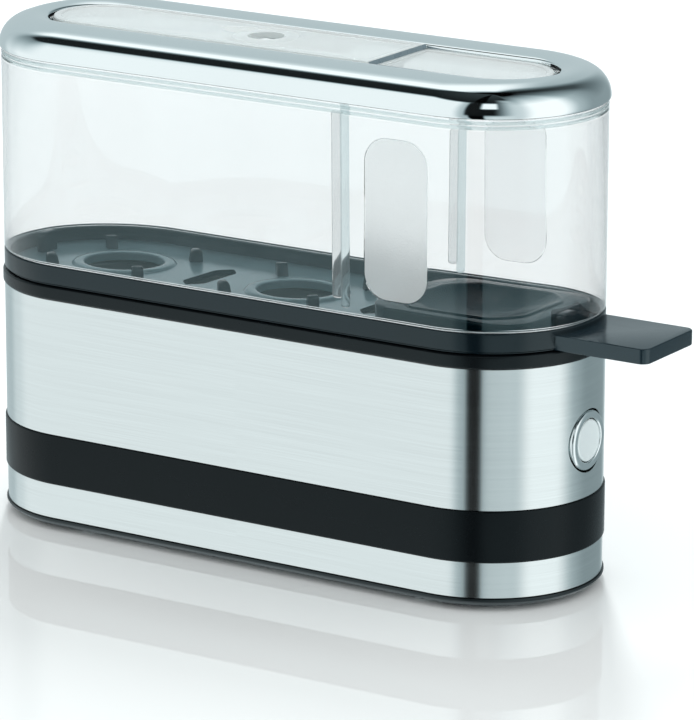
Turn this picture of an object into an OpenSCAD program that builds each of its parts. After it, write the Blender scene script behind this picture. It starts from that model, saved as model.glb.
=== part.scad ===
// Three-egg steam cooker: a slim steel base with a heated water dish, a
// lift-out egg carrier with a flat handle, and a clear cover under a chrome ring.
//
// Frame: millimetres, +Z up, feet on Z = 0, +X towards the handle, -Y the front.
// Every piece has the same plan, a stadium: two half circles of one radius
// joined by straight sides. The row origin is the middle of the whole box, so
// place() shifts the body left by half of what the handle adds on the right.

/* [Body] */
// Length over the steel sleeve
body_length = 167.5; // [158:0.5:190]
// Width over the steel sleeve
body_width = 56; // [54:0.5:64]
// Height of the steel sleeve
sleeve_height = 57.2; // [52:0.2:70]
// Sheet thickness of the steel sleeve
sleeve_wall = 0.8; // [0.6:0.1:1]
// Height of the feet under the base plate
foot_height = 1.2; // [1:0.1:3]
// Diameter of one foot
foot_d = 11; // [8:0.5:12]
// Height of the base plate's visible edge
plate_edge = 2; // [1.6:0.1:4]
// How far the black mouldings stand proud of the steel
proud = 0.4; // [0.2:0.05:0.8]

/* [Trim band] */
// Height of the band's lower edge over the sleeve's lower edge
band_rise = 9; // [8.8:0.1:14]
// Height of the band
band_height = 13; // [6:0.5:14]
// Depth of the groove rolled into the steel for the band
band_groove = 0.7; // [0.4:0.1:1]

/* [Base rim and dish] */
// Visible height of the black rim over the steel
rim_height = 3.3; // [2.4:0.1:5]
// Width of the rim's flat top, from its outside to the opening
rim_land = 5.8; // [5:0.1:6.4]
// Depth of the water dish under its flange
dish_depth = 14; // [10:0.5:14]
// Sheet thickness of the water dish
dish_wall = 0.8; // [0.6:0.1:1.2]
// Radius between the dish's wall and its bottom
dish_corner = 5; // [3:0.5:7]
// Thickness of the seal over the dish's flange
seal_t = 0.6; // [0.4:0.1:1]

/* [Heater] */
// Diameter of the sheathed heater tube
heater_d = 6.4; // [5:0.1:7]
// Distance of the heater's legs from the middle line
heater_offset = 11.5; // [9:0.5:13]
// Diameter of the thermostat's body
thermostat_d = 14; // [10:0.5:15]

/* [Button] */
// Depth of the button's axis under the sleeve's upper edge
button_drop = 21.2; // [20.7:0.1:26]
// Outer diameter of the bright ring
bezel_d = 15; // [13:0.2:17]
// Diameter of the push cap
cap_d = 10.4; // [8:0.2:11]
// Travel of the push cap
cap_travel = 2; // [1:0.1:3]

/* [Egg carrier] */
// Height of the carrier's wall
skirt_height = 5.3; // [4.6:0.1:8]
// Thickness of the carrier's wall
skirt_wall = 1.8; // [1.4:0.1:2.4]
// Thickness of the carrier's floor
floor_t = 1.5; // [1.2:0.1:2]
// Distance between two egg places
egg_pitch = 52.5; // [48:0.5:54]
// Diameter of the hole that an egg's tip sits in
seat_d = 20.4; // [16:0.2:24]
// Distance of the prongs from an egg's axis
prong_reach = 18.4; // [17:0.2:19]
// Height of the prongs over the floor
prong_height = 3.3; // [2:0.1:4]
// Reach of the handle beyond the end of the steel
handle_reach = 22.05; // [12:0.05:34]
// Width of the handle
handle_width = 24; // [18:0.5:34]
// Thickness of the handle
handle_t = 3.8; // [3.4:0.1:4.4]
// Radius of the handle's two free corners
handle_corner = 2.4; // [1:0.1:5]

/* [Loose dish] */
// Length of the dish's foot
dish_foot_length = 44; // [42:0.5:46]
// Diameter of the dish's bowl at its rim
bowl_d = 39; // [34:0.5:39]
// Depth of the bowl
bowl_depth = 4.4; // [3:0.1:4.6]

/* [Cover] */
// Height of the clear wall between the carrier and the chrome ring
cover_height = 52; // [48:0.5:64]
// Thickness of the clear wall
cover_wall = 2; // [1.6:0.1:2.6]
// Radius of the chrome ring's rounded shoulder
shoulder_r = 6.7; // [5.5:0.1:7.5]
// How far the chrome ring stands proud of the clear wall
ring_proud = 0.5; // [0.3:0.05:0.8]
// Thickness of the chrome ring
ring_wall = 1.4; // [1:0.1:1.6]
// Rise of the chrome ring's crest over its shoulder
ring_crown = 0.6; // [0.4:0.05:0.8]
// Width of the window in the chrome ring
window_width = 26.4; // [22:0.2:28]
// Distance from the window's end to the end of the chrome ring
window_end = 11.85; // [10:0.05:15]
// Diameter of the steam hole
steam_d = 9; // [5:0.5:10]
// Distance of the steam hole to the left of the body's middle
steam_x = 9.3; // [0:0.1:20]
// Place of the step between the window's two levels, from the body's middle
step_x = 28.7; // [24:0.1:34]
// Drop of the window's right part under its left part
step_drop = 1.2; // [0.6:0.1:1.4]

/* [Cover ribs and grips] */
// Place of the two inner ribs, from the body's middle
rib_x = 30.9; // [28:0.1:34]
// Width of an inner rib
rib_width = 4; // [3:0.1:5]
// Place of the grip patches, from the body's middle
grip_x = 46.1; // [40:0.1:46.5]
// Width of a grip patch
grip_width = 17.8; // [12:0.1:18]
// Height of a grip patch
grip_height = 39.8; // [24:0.1:40]
// Height of a grip patch's lower edge over the cover's lower edge
grip_rise = 5; // [4:0.1:7]
// Depth that a grip patch is let into the wall
grip_depth = 0.4; // [0.2:0.1:0.6]

/* [Fits] */
// Height left between the base, the carrier and the cover where they rest
rest_gap = 0.15; // [0.05:0.05:0.3]
// Clearance around a piece that lifts off or is pushed
loose_gap = 0.3; // [0.2:0.05:0.4]
// Clearance between two fixed mouldings
fit_gap = 0.1; // [0.05:0.01:0.15]
// Clearance between the clear wall and the chrome ring around it
ring_gap = 0.15; // [0.1:0.01:0.2]

/* [Hidden] */
$fn = 96;

// Plan
end_r = body_width / 2;
straight = body_length / 2 - end_r;                 // half of the straight side
body_x = -(handle_reach - ring_proud) / 2;          // middle of the body in the row frame

// Levels, from the floor up
sleeve_z = foot_height + plate_edge;
rim_z = sleeve_z + sleeve_height;
carrier_z = rim_z + rim_height;                     // the rim's flat top
floor_z = carrier_z + rest_gap;                     // the carrier's underside
cover_seat_z = carrier_z + skirt_height;
cover_z = cover_seat_z + rest_gap;
ring_z = cover_seat_z + cover_height;               // the chrome ring's lower edge
shoulder_z = ring_z + 0.3 + shoulder_r;             // where the ring's rounding ends
button_z = rim_z - button_drop;

// Steel, base plate and frame
sleeve_in = end_r - sleeve_wall;
plate_floor = 2.2;                                  // base plate's floor thickness
plate_top = foot_height + plate_floor;
rim_in = end_r + proud - rim_land;                  // radius of the rim's opening
rim_lip = 2.1;                                      // thickness of the rim's inward lip
spigot_r = sleeve_in - fit_gap;                     // rim's spigot inside the sleeve
spigot_wall = 1.8;
frame_r = spigot_r - spigot_wall - fit_gap;         // frame's top flange
frame_wall = 1.6;
frame_wall_r = frame_r - 1;
seal_z = carrier_z - rim_lip - seal_t;
flange_z = seal_z - dish_wall;                      // underside of the dish's flange
frame_flange = 2.6;
frame_x = straight - 6;                             // place of the frame's screw bosses
frame_y = frame_wall_r - frame_wall - 3;
dish_r = rim_in - 0.9;                              // outside of the dish's wall
dish_z = flange_z + dish_wall - dish_depth;         // underside of the dish

// Gland in the rear wall
gland_x = -40;
gland_neck_r = 3.3;
gland_z = sleeve_z + band_rise / 2 + 0.1;

// Feet and screws
foot_sunk = 1;                                      // depth of a foot's pocket in the base plate
screw_head_r = 3;
screw_r = 1.5;
screw_sunk = 1.3;                                   // depth of the seat of a screw's head

// Heater
heater_r = heater_d / 2;
heater_z = dish_z - heater_r - 0.05;
heater_bend = 7;
heater_end = straight - 1 - heater_bend;            // where the legs turn down
heater_drop = 5;
terminal_x = heater_end + heater_bend;
terminal_z = heater_z - heater_bend - heater_drop;  // lower end of the sheath
tab_w = 6.2;                                        // blade terminals
tab_t = 0.8;
thermostat_x = -4;
thermostat_cap = 1.2;
thermostat_height = 7;
fuse_x = 24;
fuse_d = 5;
fuse_length = 18;
fuse_pin = 3.2;

// Connector and leads
block_x = -43;
block_length = 22;
block_width = 16.8;
block_height = 9;
pole_y = 4.6;                                       // the two ways through the connector
pole_x = 5.5;                                       // its clamp screws
pole_z = plate_top + block_height / 2 + 0.1;
pole_r = 1.7;
clamp_r = 2.4;
lead_r = 1.1;

// Button
hole_gap = 0.4;                                     // dark gap round the bright ring
bezel_r = bezel_d / 2;
cap_r = cap_d / 2;
bezel_face = straight + end_r + 0.2;                // the ring's face, from the body's middle
cap_face = bezel_face - 0.1;
cap_depth = 3.2;
plunger_r = 3.2;
wall_in = straight + frame_wall_r - frame_wall;     // inner face of the frame's end wall
neck_length = 10.5;                                 // of the bright ring, through both walls
pad_r = bezel_r + 1.3;                              // flat seat for the nut in the frame's end wall
pad_x = wall_in - 2;
switch_length = 17;

// Carrier
skirt_in = end_r - skirt_wall;
floor_top = floor_z + floor_t;
guide_r = rim_in - loose_gap;                       // ring that centres the carrier
handle_tip = straight + end_r + handle_reach;

// Loose dish in the third place
dish_rim_z = cover_seat_z + 1.8;
dish_top_z = dish_rim_z - 0.4;
dish_t = 1.3;

// Cover
cover_in = end_r - cover_wall;
ring_r = end_r + ring_proud;
ring_in = ring_r - ring_wall;
neck_r = ring_in - ring_gap;                        // clear wall inside the ring
ring_hub_r = ring_r - shoulder_r;                   // centre of the shoulder's rounding
ring_hub_z = shoulder_z - shoulder_r;
ring_under = shoulder_z - ring_wall;                // underside of the ring's flat part
cover_top = ring_under - ring_gap;
window_r = window_width / 2;
window_straight = straight + ring_r - window_end - window_r;
window_edge_z = shoulder_z - 0.3;
panel_z = shoulder_z + 0.1;                         // top of the window's left part
panel_r = window_r - 0.3;
panel_straight = window_straight - 1.2;
panel_t = 1.8;

// ---------------------------------------------------------------- helpers

// Moves a piece from the body's middle to its place in the row frame.
module place() translate([body_x, 0, 0]) children();

// The plan of every piece: radius r at the ends, half straight length s.
module stadium(r, s = straight) {
    for (x = [-s, s]) translate([x, 0]) circle(r);
    square([2 * s, 2 * r], center = true);
}

module stadium_ring(r_out, r_in, s = straight) difference() {
    stadium(r_out, s);
    stadium(r_in, s);
}

// A vertical-walled piece of the plan from z0 to z1.
module wall(r_out, r_in, z0, z1, s = straight)
    translate([0, 0, z0]) linear_extrude(z1 - z0) stadium_ring(r_out, r_in, s);

module slab(r, z0, z1, s = straight)
    translate([0, 0, z0]) linear_extrude(z1 - z0) stadium(r, s);

// Sweeps a 2D profile, drawn as (distance from the middle line, height), round
// the plan: two half turns at the ends and two straight runs between them.
module swept(s = straight) {
    for (end = [-1, 1]) translate([end * s, 0, 0]) rotate([0, 0, -90 * end])
        rotate_extrude(angle = 180) children();
    for (side = [0, 1]) mirror([0, side, 0]) translate([-s, 0, 0])
        rotate([90, 0, 90]) linear_extrude(2 * s) children();
}

// Points of an arc about (x, y), for profiles.
function arc(x, y, r, from, to, n = 12) =
    [for (i = [0:n]) let (a = from + (to - from) * i / n)
        [x + r * cos(a), y + r * sin(a)]];

module rounded_rect(w, h, r) {
    square([w - 2 * r, h], center = true);
    square([w, h - 2 * r], center = true);
    for (x = [-1, 1], y = [-1, 1]) translate([x * (w / 2 - r), y * (h / 2 - r)]) circle(r);
}

// A round bar along X, from x0 to x1.
module bar_x(r, x0, x1) translate([x0, 0, 0]) rotate([0, 90, 0]) cylinder(r = r, h = x1 - x0);

// The four places of the feet and of the screws.
module at_feet() for (x = [-1, 1], y = [-1, 1])
    translate([x * (straight + 4.6), y * (end_r - 9.5), 0]) children();

module at_screws() for (x = [-1, 1], y = [-1, 1])
    translate([x * frame_x, y * frame_y, 0]) children();

module at_eggs() for (i = [-1, 0, 1]) translate([i * egg_pitch, 0, 0]) children();

// ---------------------------------------------------------------- base

module base_plate() color("#23282c") place() difference() {
    union() {
        // visible edge, drawn in under its upper lip
        swept() polygon([[0, foot_height], [end_r - 1.2, foot_height],
            [end_r + proud - 0.3, foot_height + 1], [end_r + proud, sleeve_z - 0.6],
            [end_r + proud, sleeve_z - fit_gap], [sleeve_in - fit_gap, sleeve_z - fit_gap],
            [sleeve_in - fit_gap, plate_top + 2.4], [sleeve_in - 1.6, plate_top + 2.4],
            [sleeve_in - 1.6, plate_top], [0, plate_top]]);
        // stiffening ribs across the floor, clear of the screw bosses
        for (x = [-30, 0, 30]) translate([x - 0.8, -frame_wall_r + frame_wall + 1, plate_top - 0.2])
            cube([1.6, 2 * (frame_wall_r - frame_wall - 1), 1.6]);
    }
    at_feet() translate([0, 0, foot_height - 1]) cylinder(d = foot_d + 2 * fit_gap, h = foot_sunk + 1);
    at_screws() {
        cylinder(r = screw_r + 0.2, h = plate_top + 3);
        translate([0, 0, foot_height - 1]) cylinder(r = screw_head_r + 0.3, h = 1 + screw_sunk);
    }
    translate([gland_x, 0, gland_z]) rotate([-90, 0, 0]) cylinder(r = gland_neck_r + fit_gap, h = 2 * end_r);
    // cooling slots, two rows of five
    for (x = [-1, 1], i = [-2:2])
        translate([x * 15 + i * 4.6 - 0.9, -8, foot_height - 1]) cube([1.8, 16, plate_floor + 2]);
}

module feet() color("#1a1c1e") place() at_feet() {
    rotate_extrude() polygon([[0, 0.4], [foot_d / 2 - 2.2, 0.4], [foot_d / 2 - 1.8, 0],
        [foot_d / 2 - 0.7, 0], [foot_d / 2, 0.5], [foot_d / 2, foot_height + foot_sunk],
        [0, foot_height + foot_sunk]]);
}

// Four screws with crossed slots, their heads sunk in the base plate.
module base_screws() color("silver") place() at_screws() translate([0, 0, foot_height + 0.1])
    difference() {
        rotate_extrude() polygon(concat([[0, 0], [screw_head_r - 0.8, 0]],
            arc(screw_head_r - 0.8, 0.8, 0.8, -90, 0, 6),
            [[screw_head_r, screw_sunk - 0.1], [screw_r, screw_sunk - 0.1], [screw_r, 11], [0, 12]]));
        for (a = [0, 90]) rotate([0, 0, a]) translate([-1.7, -0.35, -1]) cube([3.4, 0.7, 1.7]);
    }

// Chassis inside the sleeve: wall, top flange for the dish, screw bosses.
module inner_frame() color("#2b3034") place() difference() {
    union() {
        swept() polygon([[frame_wall_r - frame_wall, plate_top + fit_gap], [frame_wall_r, plate_top + fit_gap],
            [frame_wall_r, flange_z - frame_flange - 1], [frame_r, flange_z - frame_flange],
            [frame_r, flange_z], [dish_r + 0.5, flange_z], [dish_r + 0.5, flange_z - frame_flange],
            [frame_wall_r - frame_wall, flange_z - frame_flange - 1]]);
        translate([0, 0, button_z]) bar_x(pad_r, pad_x, wall_in + 0.4);
        at_screws() translate([0, 0, plate_top + fit_gap]) cylinder(r = 3.6, h = 14);
        for (x = [-1, 1], y = [-1, 1])
            translate([x * frame_x - 0.8, y > 0 ? frame_y : -frame_wall_r + 0.5, plate_top + fit_gap])
            cube([1.6, frame_wall_r - frame_y - 0.5, 20]);
    }
    at_screws() translate([0, 0, plate_top]) cylinder(r = screw_r + 0.05, h = 12);
    // the ring's neck passes through the right end wall, the gland through the rear one
    translate([0, 0, button_z]) bar_x(bezel_r - 0.5 + fit_gap, pad_x - 1, wall_in + 10);
    translate([gland_x, 0, gland_z]) rotate([-90, 0, 0]) cylinder(r = gland_neck_r + fit_gap, h = 2 * end_r);
    // openings for cooling air in the long walls
    for (x = [-18, 18]) translate([x - 6, -end_r, plate_top + 6]) cube([12, 2 * end_r, 10]);
}

module steel_sleeve() color("#cfd6d8") place() difference() {
    swept() polygon([
        [sleeve_in, sleeve_z], [end_r, sleeve_z],
        [end_r, sleeve_z + band_rise - 0.05],
        [end_r - band_groove, sleeve_z + band_rise],
        [end_r - band_groove, sleeve_z + band_rise + band_height],
        [end_r, sleeve_z + band_rise + band_height + 0.05],
        [end_r, rim_z - fit_gap], [sleeve_in, rim_z - fit_gap],
        [sleeve_in, sleeve_z + band_rise + band_height + sleeve_wall],
        [sleeve_in - band_groove, sleeve_z + band_rise + band_height + 0.05],
        [sleeve_in - band_groove, sleeve_z + band_rise - 0.05],
        [sleeve_in, sleeve_z + band_rise - sleeve_wall]]);
    translate([0, 0, button_z]) bar_x(bezel_r + hole_gap, straight, straight + 2 * end_r);
    translate([gland_x, 0, gland_z]) rotate([-90, 0, 0]) cylinder(r = gland_neck_r + 0.2, h = 2 * end_r);
}

module trim_band() color("#1b1f22") place() swept()
    polygon(concat(
        [[end_r - band_groove + 0.05, sleeve_z + band_rise + 0.1]],
        arc(end_r + proud - 0.3, sleeve_z + band_rise + 0.4, 0.3, -90, 0, 4),
        arc(end_r + proud - 0.3, sleeve_z + band_rise + band_height - 0.4, 0.3, 0, 90, 4),
        [[end_r - band_groove + 0.05, sleeve_z + band_rise + band_height - 0.1]]));

// Black rim over the sleeve: flat top, lip over the dish, spigot with snap hooks.
module base_rim() color("#262c31") place() {
    swept() polygon(concat(
        [[rim_in, carrier_z - rim_lip], [rim_in, carrier_z - 0.5], [rim_in + 0.5, carrier_z]],
        arc(end_r + proud - 0.6, carrier_z - 0.6, 0.6, 90, 0, 6),
        arc(end_r + proud - 0.4, rim_z + 0.4, 0.4, 0, -90, 4),
        [[spigot_r, rim_z], [spigot_r, rim_z - 6], [spigot_r - spigot_wall, rim_z - 6.4],
         [spigot_r - spigot_wall, carrier_z - rim_lip]]));
    for (x = [-0.7, 0, 0.7], y = [0, 1]) mirror([0, y, 0])
        translate([x * straight - 5, spigot_r - spigot_wall - 0.8, rim_z - 6.4]) rotate([90, 0, 90])
            linear_extrude(10) polygon([[1, 0], [1.8, 0], [1.8, 2.2], [1, 2.2], [0, 1.6], [0, 1.2]]);
}

module dish_seal() color("#8f9496") place() swept()
    polygon([[rim_in + 0.4, seal_z], [frame_r - fit_gap, seal_z],
        [frame_r - fit_gap, seal_z + seal_t], [rim_in + 0.4, seal_z + seal_t]]);

// Pressed water dish: flange, wall, rounded corner and flat bottom.
module water_dish() color("#b9bec0") place() {
    r = dish_r; t = dish_wall; c = dish_corner;
    swept() polygon(concat(
        [[frame_r - fit_gap, flange_z], [frame_r - fit_gap, flange_z + t]],
        arc(r - t + 1.3, flange_z + t - 1.3, 1.3, 90, 180, 6),
        arc(r - c, dish_z + c, c - t, 0, -90, 10),
        [[0, dish_z + t], [0, dish_z]],
        arc(r - c, dish_z + c, c, -90, 0, 10),
        arc(r + 0.5, flange_z - 0.5, 0.5, 180, 90, 4)));
}

// Sheathed heater: two legs under the dish, joined at the left, turned down at the right.
module heater_tube() color("#6f7577") place() translate([0, 0, heater_z]) {
    bend = heater_bend;
    translate([-straight + 2, 0, 0]) rotate([0, 0, 90]) rotate_extrude(angle = 180)
        translate([heater_offset, 0]) circle(heater_r, $fn = 48);
    for (y = [-1, 1]) translate([0, y * heater_offset, 0]) {
        bar_x(heater_r, -straight + 2, heater_end);
        translate([heater_end, 0, -bend]) rotate([90, 0, 0]) rotate_extrude(angle = 90)
            translate([bend, 0]) circle(heater_r, $fn = 48);
        translate([heater_end + bend, 0, -bend - heater_drop]) cylinder(r = heater_r, h = heater_drop);
    }
}

// Ceramic bead with a groove, pin and blade on each end of the heater.
module heater_terminals() color("#d8d4c4") place() for (y = [-1, 1])
    translate([terminal_x, y * heater_offset, terminal_z]) {
        rotate_extrude() polygon([[0, -3], [2, -3], [2.6, -2.4], [2.6, -0.6], [2.2, 0], [0, 0]]);
        translate([0, 0, -5]) cylinder(r = 1.1, h = 2.2);
        translate([-tab_t / 2, -tab_w / 2, -12]) cube([tab_t, tab_w, 7.4]);
    }

// Disc thermostat under the middle of the dish, its cap against the metal.
module thermostat() color("#40362c") place() translate([thermostat_x, 0, dish_z - fit_gap]) {
    body_d = thermostat_d - 4;
    blade = 6;
    translate([0, 0, -thermostat_cap]) cylinder(d = thermostat_d, h = thermostat_cap);
    translate([0, 0, -thermostat_height]) cylinder(d = body_d, h = thermostat_height - 1);
    for (x = [-1, 1])
        translate([x * body_d * 0.32 - body_d * 0.24, -tab_t / 2, 0.5 - thermostat_height - blade])
            cube([body_d * 0.48, tab_t, blade]);
}

// Bent strap that presses the thermostat up, its two feet welded to the dish.
module thermostat_clip() color("#aeb4b6") place() translate([thermostat_x, 0, dish_z - fit_gap]) {
    strap_room = 5;                         // beside the thermostat's body
    strap_foot = 4.4;
    reach = thermostat_d / 2 + strap_room;
    strap = 0.8;
    top = -thermostat_cap - fit_gap;
    wide = thermostat_d - 2;
    difference() {
        translate([0, wide / 2, 0]) rotate([90, 0, 0]) linear_extrude(wide) polygon([
            [-reach - strap_foot, 0], [strap - reach, 0], [strap - reach, top], [reach - strap, top],
            [reach - strap, 0], [reach + strap_foot, 0], [reach + strap_foot, -strap], [reach, -strap],
            [reach, top - strap], [-reach, top - strap], [-reach, -strap], [-reach - strap_foot, -strap]]);
        translate([0, 0, top - strap - 1]) cylinder(d = wide - 1.6, h = strap + 2);
    }
}

module thermal_fuse() color("#d9dcd2") place() translate([fuse_x, 0, dish_z - fuse_d / 2 - fit_gap]) {
    bar_x(fuse_d / 2, -fuse_length / 2, fuse_length / 2);
    for (side = [0, 1]) mirror([side, 0, 0]) bar_x(0.6, fuse_length / 2 - 0.2, fuse_length / 2 + fuse_pin);
}

module at_clamps() for (x = [-1, 1], y = [-1, 1])
    translate([block_x + x * pole_x, y * pole_y, 0]) children();

// Connector that joins the leads to the cord, standing on the base plate.
module terminal_block() color("#e4e2da") place() difference() {
    union() {
        translate([block_x - block_length / 2, -block_width / 2, plate_top])
            cube([block_length, block_width, block_height]);
        at_clamps() translate([0, 0, plate_top + block_height - 0.1]) cylinder(r = clamp_r + 1, h = 2.4);
    }
    for (y = [-1, 1]) translate([0, y * pole_y, pole_z])
        bar_x(pole_r, block_x - block_length / 2 - 1, block_x + block_length / 2 + 1);
    at_clamps() translate([0, 0, pole_z]) cylinder(r = clamp_r, h = block_height + 3);
    translate([block_x - block_length / 2 - 1, -0.8, plate_top + block_height * 0.6])
        cube([block_length + 2, 1.6, block_height]);
}

// Four slotted screws that clamp the leads in the connector.
module terminal_screws() color("silver") place() at_clamps() translate([0, 0, pole_z + lead_r + 0.05])
    difference() {
        cylinder(r = clamp_r - 0.05, h = block_height * 0.46);
        translate([-clamp_r - 1, -0.35, block_height * 0.46 - 0.8]) cube([2 * clamp_r + 2, 0.7, 2]);
    }

// Two leads from the connector to the sleeves pushed on the heater's blades.
module lead_wires() color("#8a4b2c") place() for (side = [0, 1]) mirror([0, side, 0]) {
    shift = (heater_offset - pole_y) / 2;   // radius of the two bends sideways
    turn_x = 8;
    rise = 3;                               // radius of the bend upwards
    low = terminal_z - 13.4;                // lower end of the sleeve
    translate([0, pole_y, pole_z]) bar_x(lead_r, block_x + pole_x + clamp_r - 3.5, turn_x);
    translate([turn_x, pole_y + shift, pole_z]) rotate([0, 0, -90]) rotate_extrude(angle = 90)
        translate([shift, 0]) circle(lead_r, $fn = 32);
    translate([turn_x + 2 * shift, pole_y + shift, pole_z]) rotate([0, 0, 90]) rotate_extrude(angle = 90)
        translate([shift, 0]) circle(lead_r, $fn = 32);
    translate([0, heater_offset, pole_z]) bar_x(lead_r, turn_x + 2 * shift, terminal_x - rise);
    translate([terminal_x - rise, heater_offset, pole_z + rise]) rotate([90, 0, 0]) rotate([0, 0, -90])
        rotate_extrude(angle = 90) translate([rise, 0]) circle(lead_r, $fn = 32);
    translate([terminal_x, heater_offset, pole_z + rise]) cylinder(r = lead_r, h = low + 0.2 - pole_z - rise);
    translate([terminal_x, heater_offset, low]) difference() {
        translate([-1.5, -tab_w / 2 - 0.8, 0]) cube([3, tab_w + 1.6, 7.6]);
        translate([-tab_t / 2 - 0.1, -tab_w / 2 - 0.1, 1.2]) cube([tab_t + 0.2, tab_w + 0.2, 8]);
    }
}

// Rubber gland in the rear of the sleeve, where a cord would enter: thin collar
// outside, neck through both walls, barb behind the frame's wall.
module cord_gland() color("#1d2022") place() translate([gland_x, ring_r, gland_z]) rotate([90, 0, 0]) {
    deep = ring_r - frame_wall_r + frame_wall + fit_gap;
    rotate_extrude() polygon([[2.3, 0], [3.4, 0], [3.9, 0.2], [3.9, ring_proud - 0.02],
        [gland_neck_r, ring_proud - 0.02], [gland_neck_r, deep], [3.8, deep],
        [gland_neck_r - 0.3, deep + 2], [2.3, deep + 2]]);
}

// ---------------------------------------------------------------- button

module button_ring() color("#dfe3e4") place() translate([0, 0, button_z]) rotate([0, 90, 0])
    translate([0, 0, bezel_face]) mirror([0, 0, 1]) rotate_extrude()
        polygon(concat([[cap_r + 0.25, neck_length], [cap_r + 0.25, 0.5]],
            arc(cap_r + 0.55, 0.3, 0.3, 180, 270, 4),
            arc(bezel_r - 0.6, 0.6, 0.6, -90, 0, 5),
            [[bezel_r, 2.6], [bezel_r - 0.5, 2.6], [bezel_r - 0.5, neck_length]]));

// Hexagonal nut that holds the ring's neck in the frame's end wall.
module switch_nut() color("#9aa1a4") place() translate([pad_x - 2.25, 0, button_z]) rotate([0, 90, 0])
    difference() {
        rotate(30) cylinder(r = bezel_r + 1.5, h = 2.2, $fn = 6);
        translate([0, 0, -1]) cylinder(r = bezel_r - 0.5 + 0.05, h = 2.2 + 2);
    }

// Latching push switch: barrel behind the ring, contact block and two tabs.
module switch_body() color("#202428") place() translate([0, 0, button_z]) {
    x0 = bezel_face - neck_length - switch_length;
    difference() {
        union() {
            bar_x(bezel_r - 0.5, x0 + 8, x0 + switch_length - fit_gap);
            translate([x0, -6, -6.5]) cube([8.1, 12, 13]);
        }
        bar_x(plunger_r + 0.1, x0 + 3, bezel_face);
        bar_x(cap_r + 0.3, x0 + switch_length - 4, bezel_face);
    }
    for (y = [-1, 1]) translate([x0 - 6, y * 3.4 - tab_t / 2, -tab_w / 2]) cube([6.2, tab_t, tab_w]);
}

module button_plunger() color("#30363a") place() translate([0, 0, button_z]) {
    bar_x(plunger_r, cap_face - cap_depth - 14, cap_face - cap_depth);
    bar_x(cap_r - 0.6, cap_face - cap_depth - 1.2, cap_face - cap_depth);
}

// Push cap with a rounded edge and a slightly hollow face.
module button_cap() color("#e6e9ea") place() translate([0, 0, button_z]) rotate([0, 90, 0])
    translate([0, 0, cap_face]) mirror([0, 0, 1]) rotate_extrude()
        polygon(concat([[0, 0.35]], [for (i = [1:5]) [(cap_r - 0.9) * i / 5, 0.35 - 0.25 * pow(i / 5, 2)]],
            arc(cap_r - 0.5, 0.5, 0.5, -90, 0, 5), [[cap_r, cap_depth], [0, cap_depth]]));

// ---------------------------------------------------------------- carrier

// A prong: a fin across the radius, sloped towards the egg, round on top.
module prong() translate([prong_reach - 1.6, 1.4, floor_top - 0.3]) rotate([90, 0, 0]) linear_extrude(2.8)
    polygon(concat([[0, 0], [3.4, 0]], arc(1.9, prong_height - 1, 1.3, 0, 180, 10)));

module handle() {
    handle_wall = 1.8;
    handle_rib = 1.2;
    handle_top = 1.6;
    hollow = (handle_width - 2 * handle_wall - 2 * handle_rib) / 3;
    difference() {
        translate([0, 0, floor_z]) linear_extrude(handle_t) difference() {
            union() {
                translate([straight + end_r - 3.5, -handle_width / 2])
                    square([handle_reach + 3.5 - handle_corner, handle_width]);
                translate([handle_tip - 2 * handle_corner, -handle_width / 2 + handle_corner])
                    square([2 * handle_corner, handle_width - 2 * handle_corner]);
                for (y = [-1, 1])
                    translate([handle_tip - handle_corner, y * (handle_width / 2 - handle_corner)])
                        circle(handle_corner);
            }
            stadium(skirt_in + 0.2);
        }
        // hollow underside with two ribs
        for (i = [-1, 0, 1])
            translate([straight + end_r + 2, i * (hollow + handle_rib) - hollow / 2, floor_z - 1])
                cube([handle_reach - 2 - handle_corner, hollow, handle_t - handle_top + 1]);
    }
}

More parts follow.
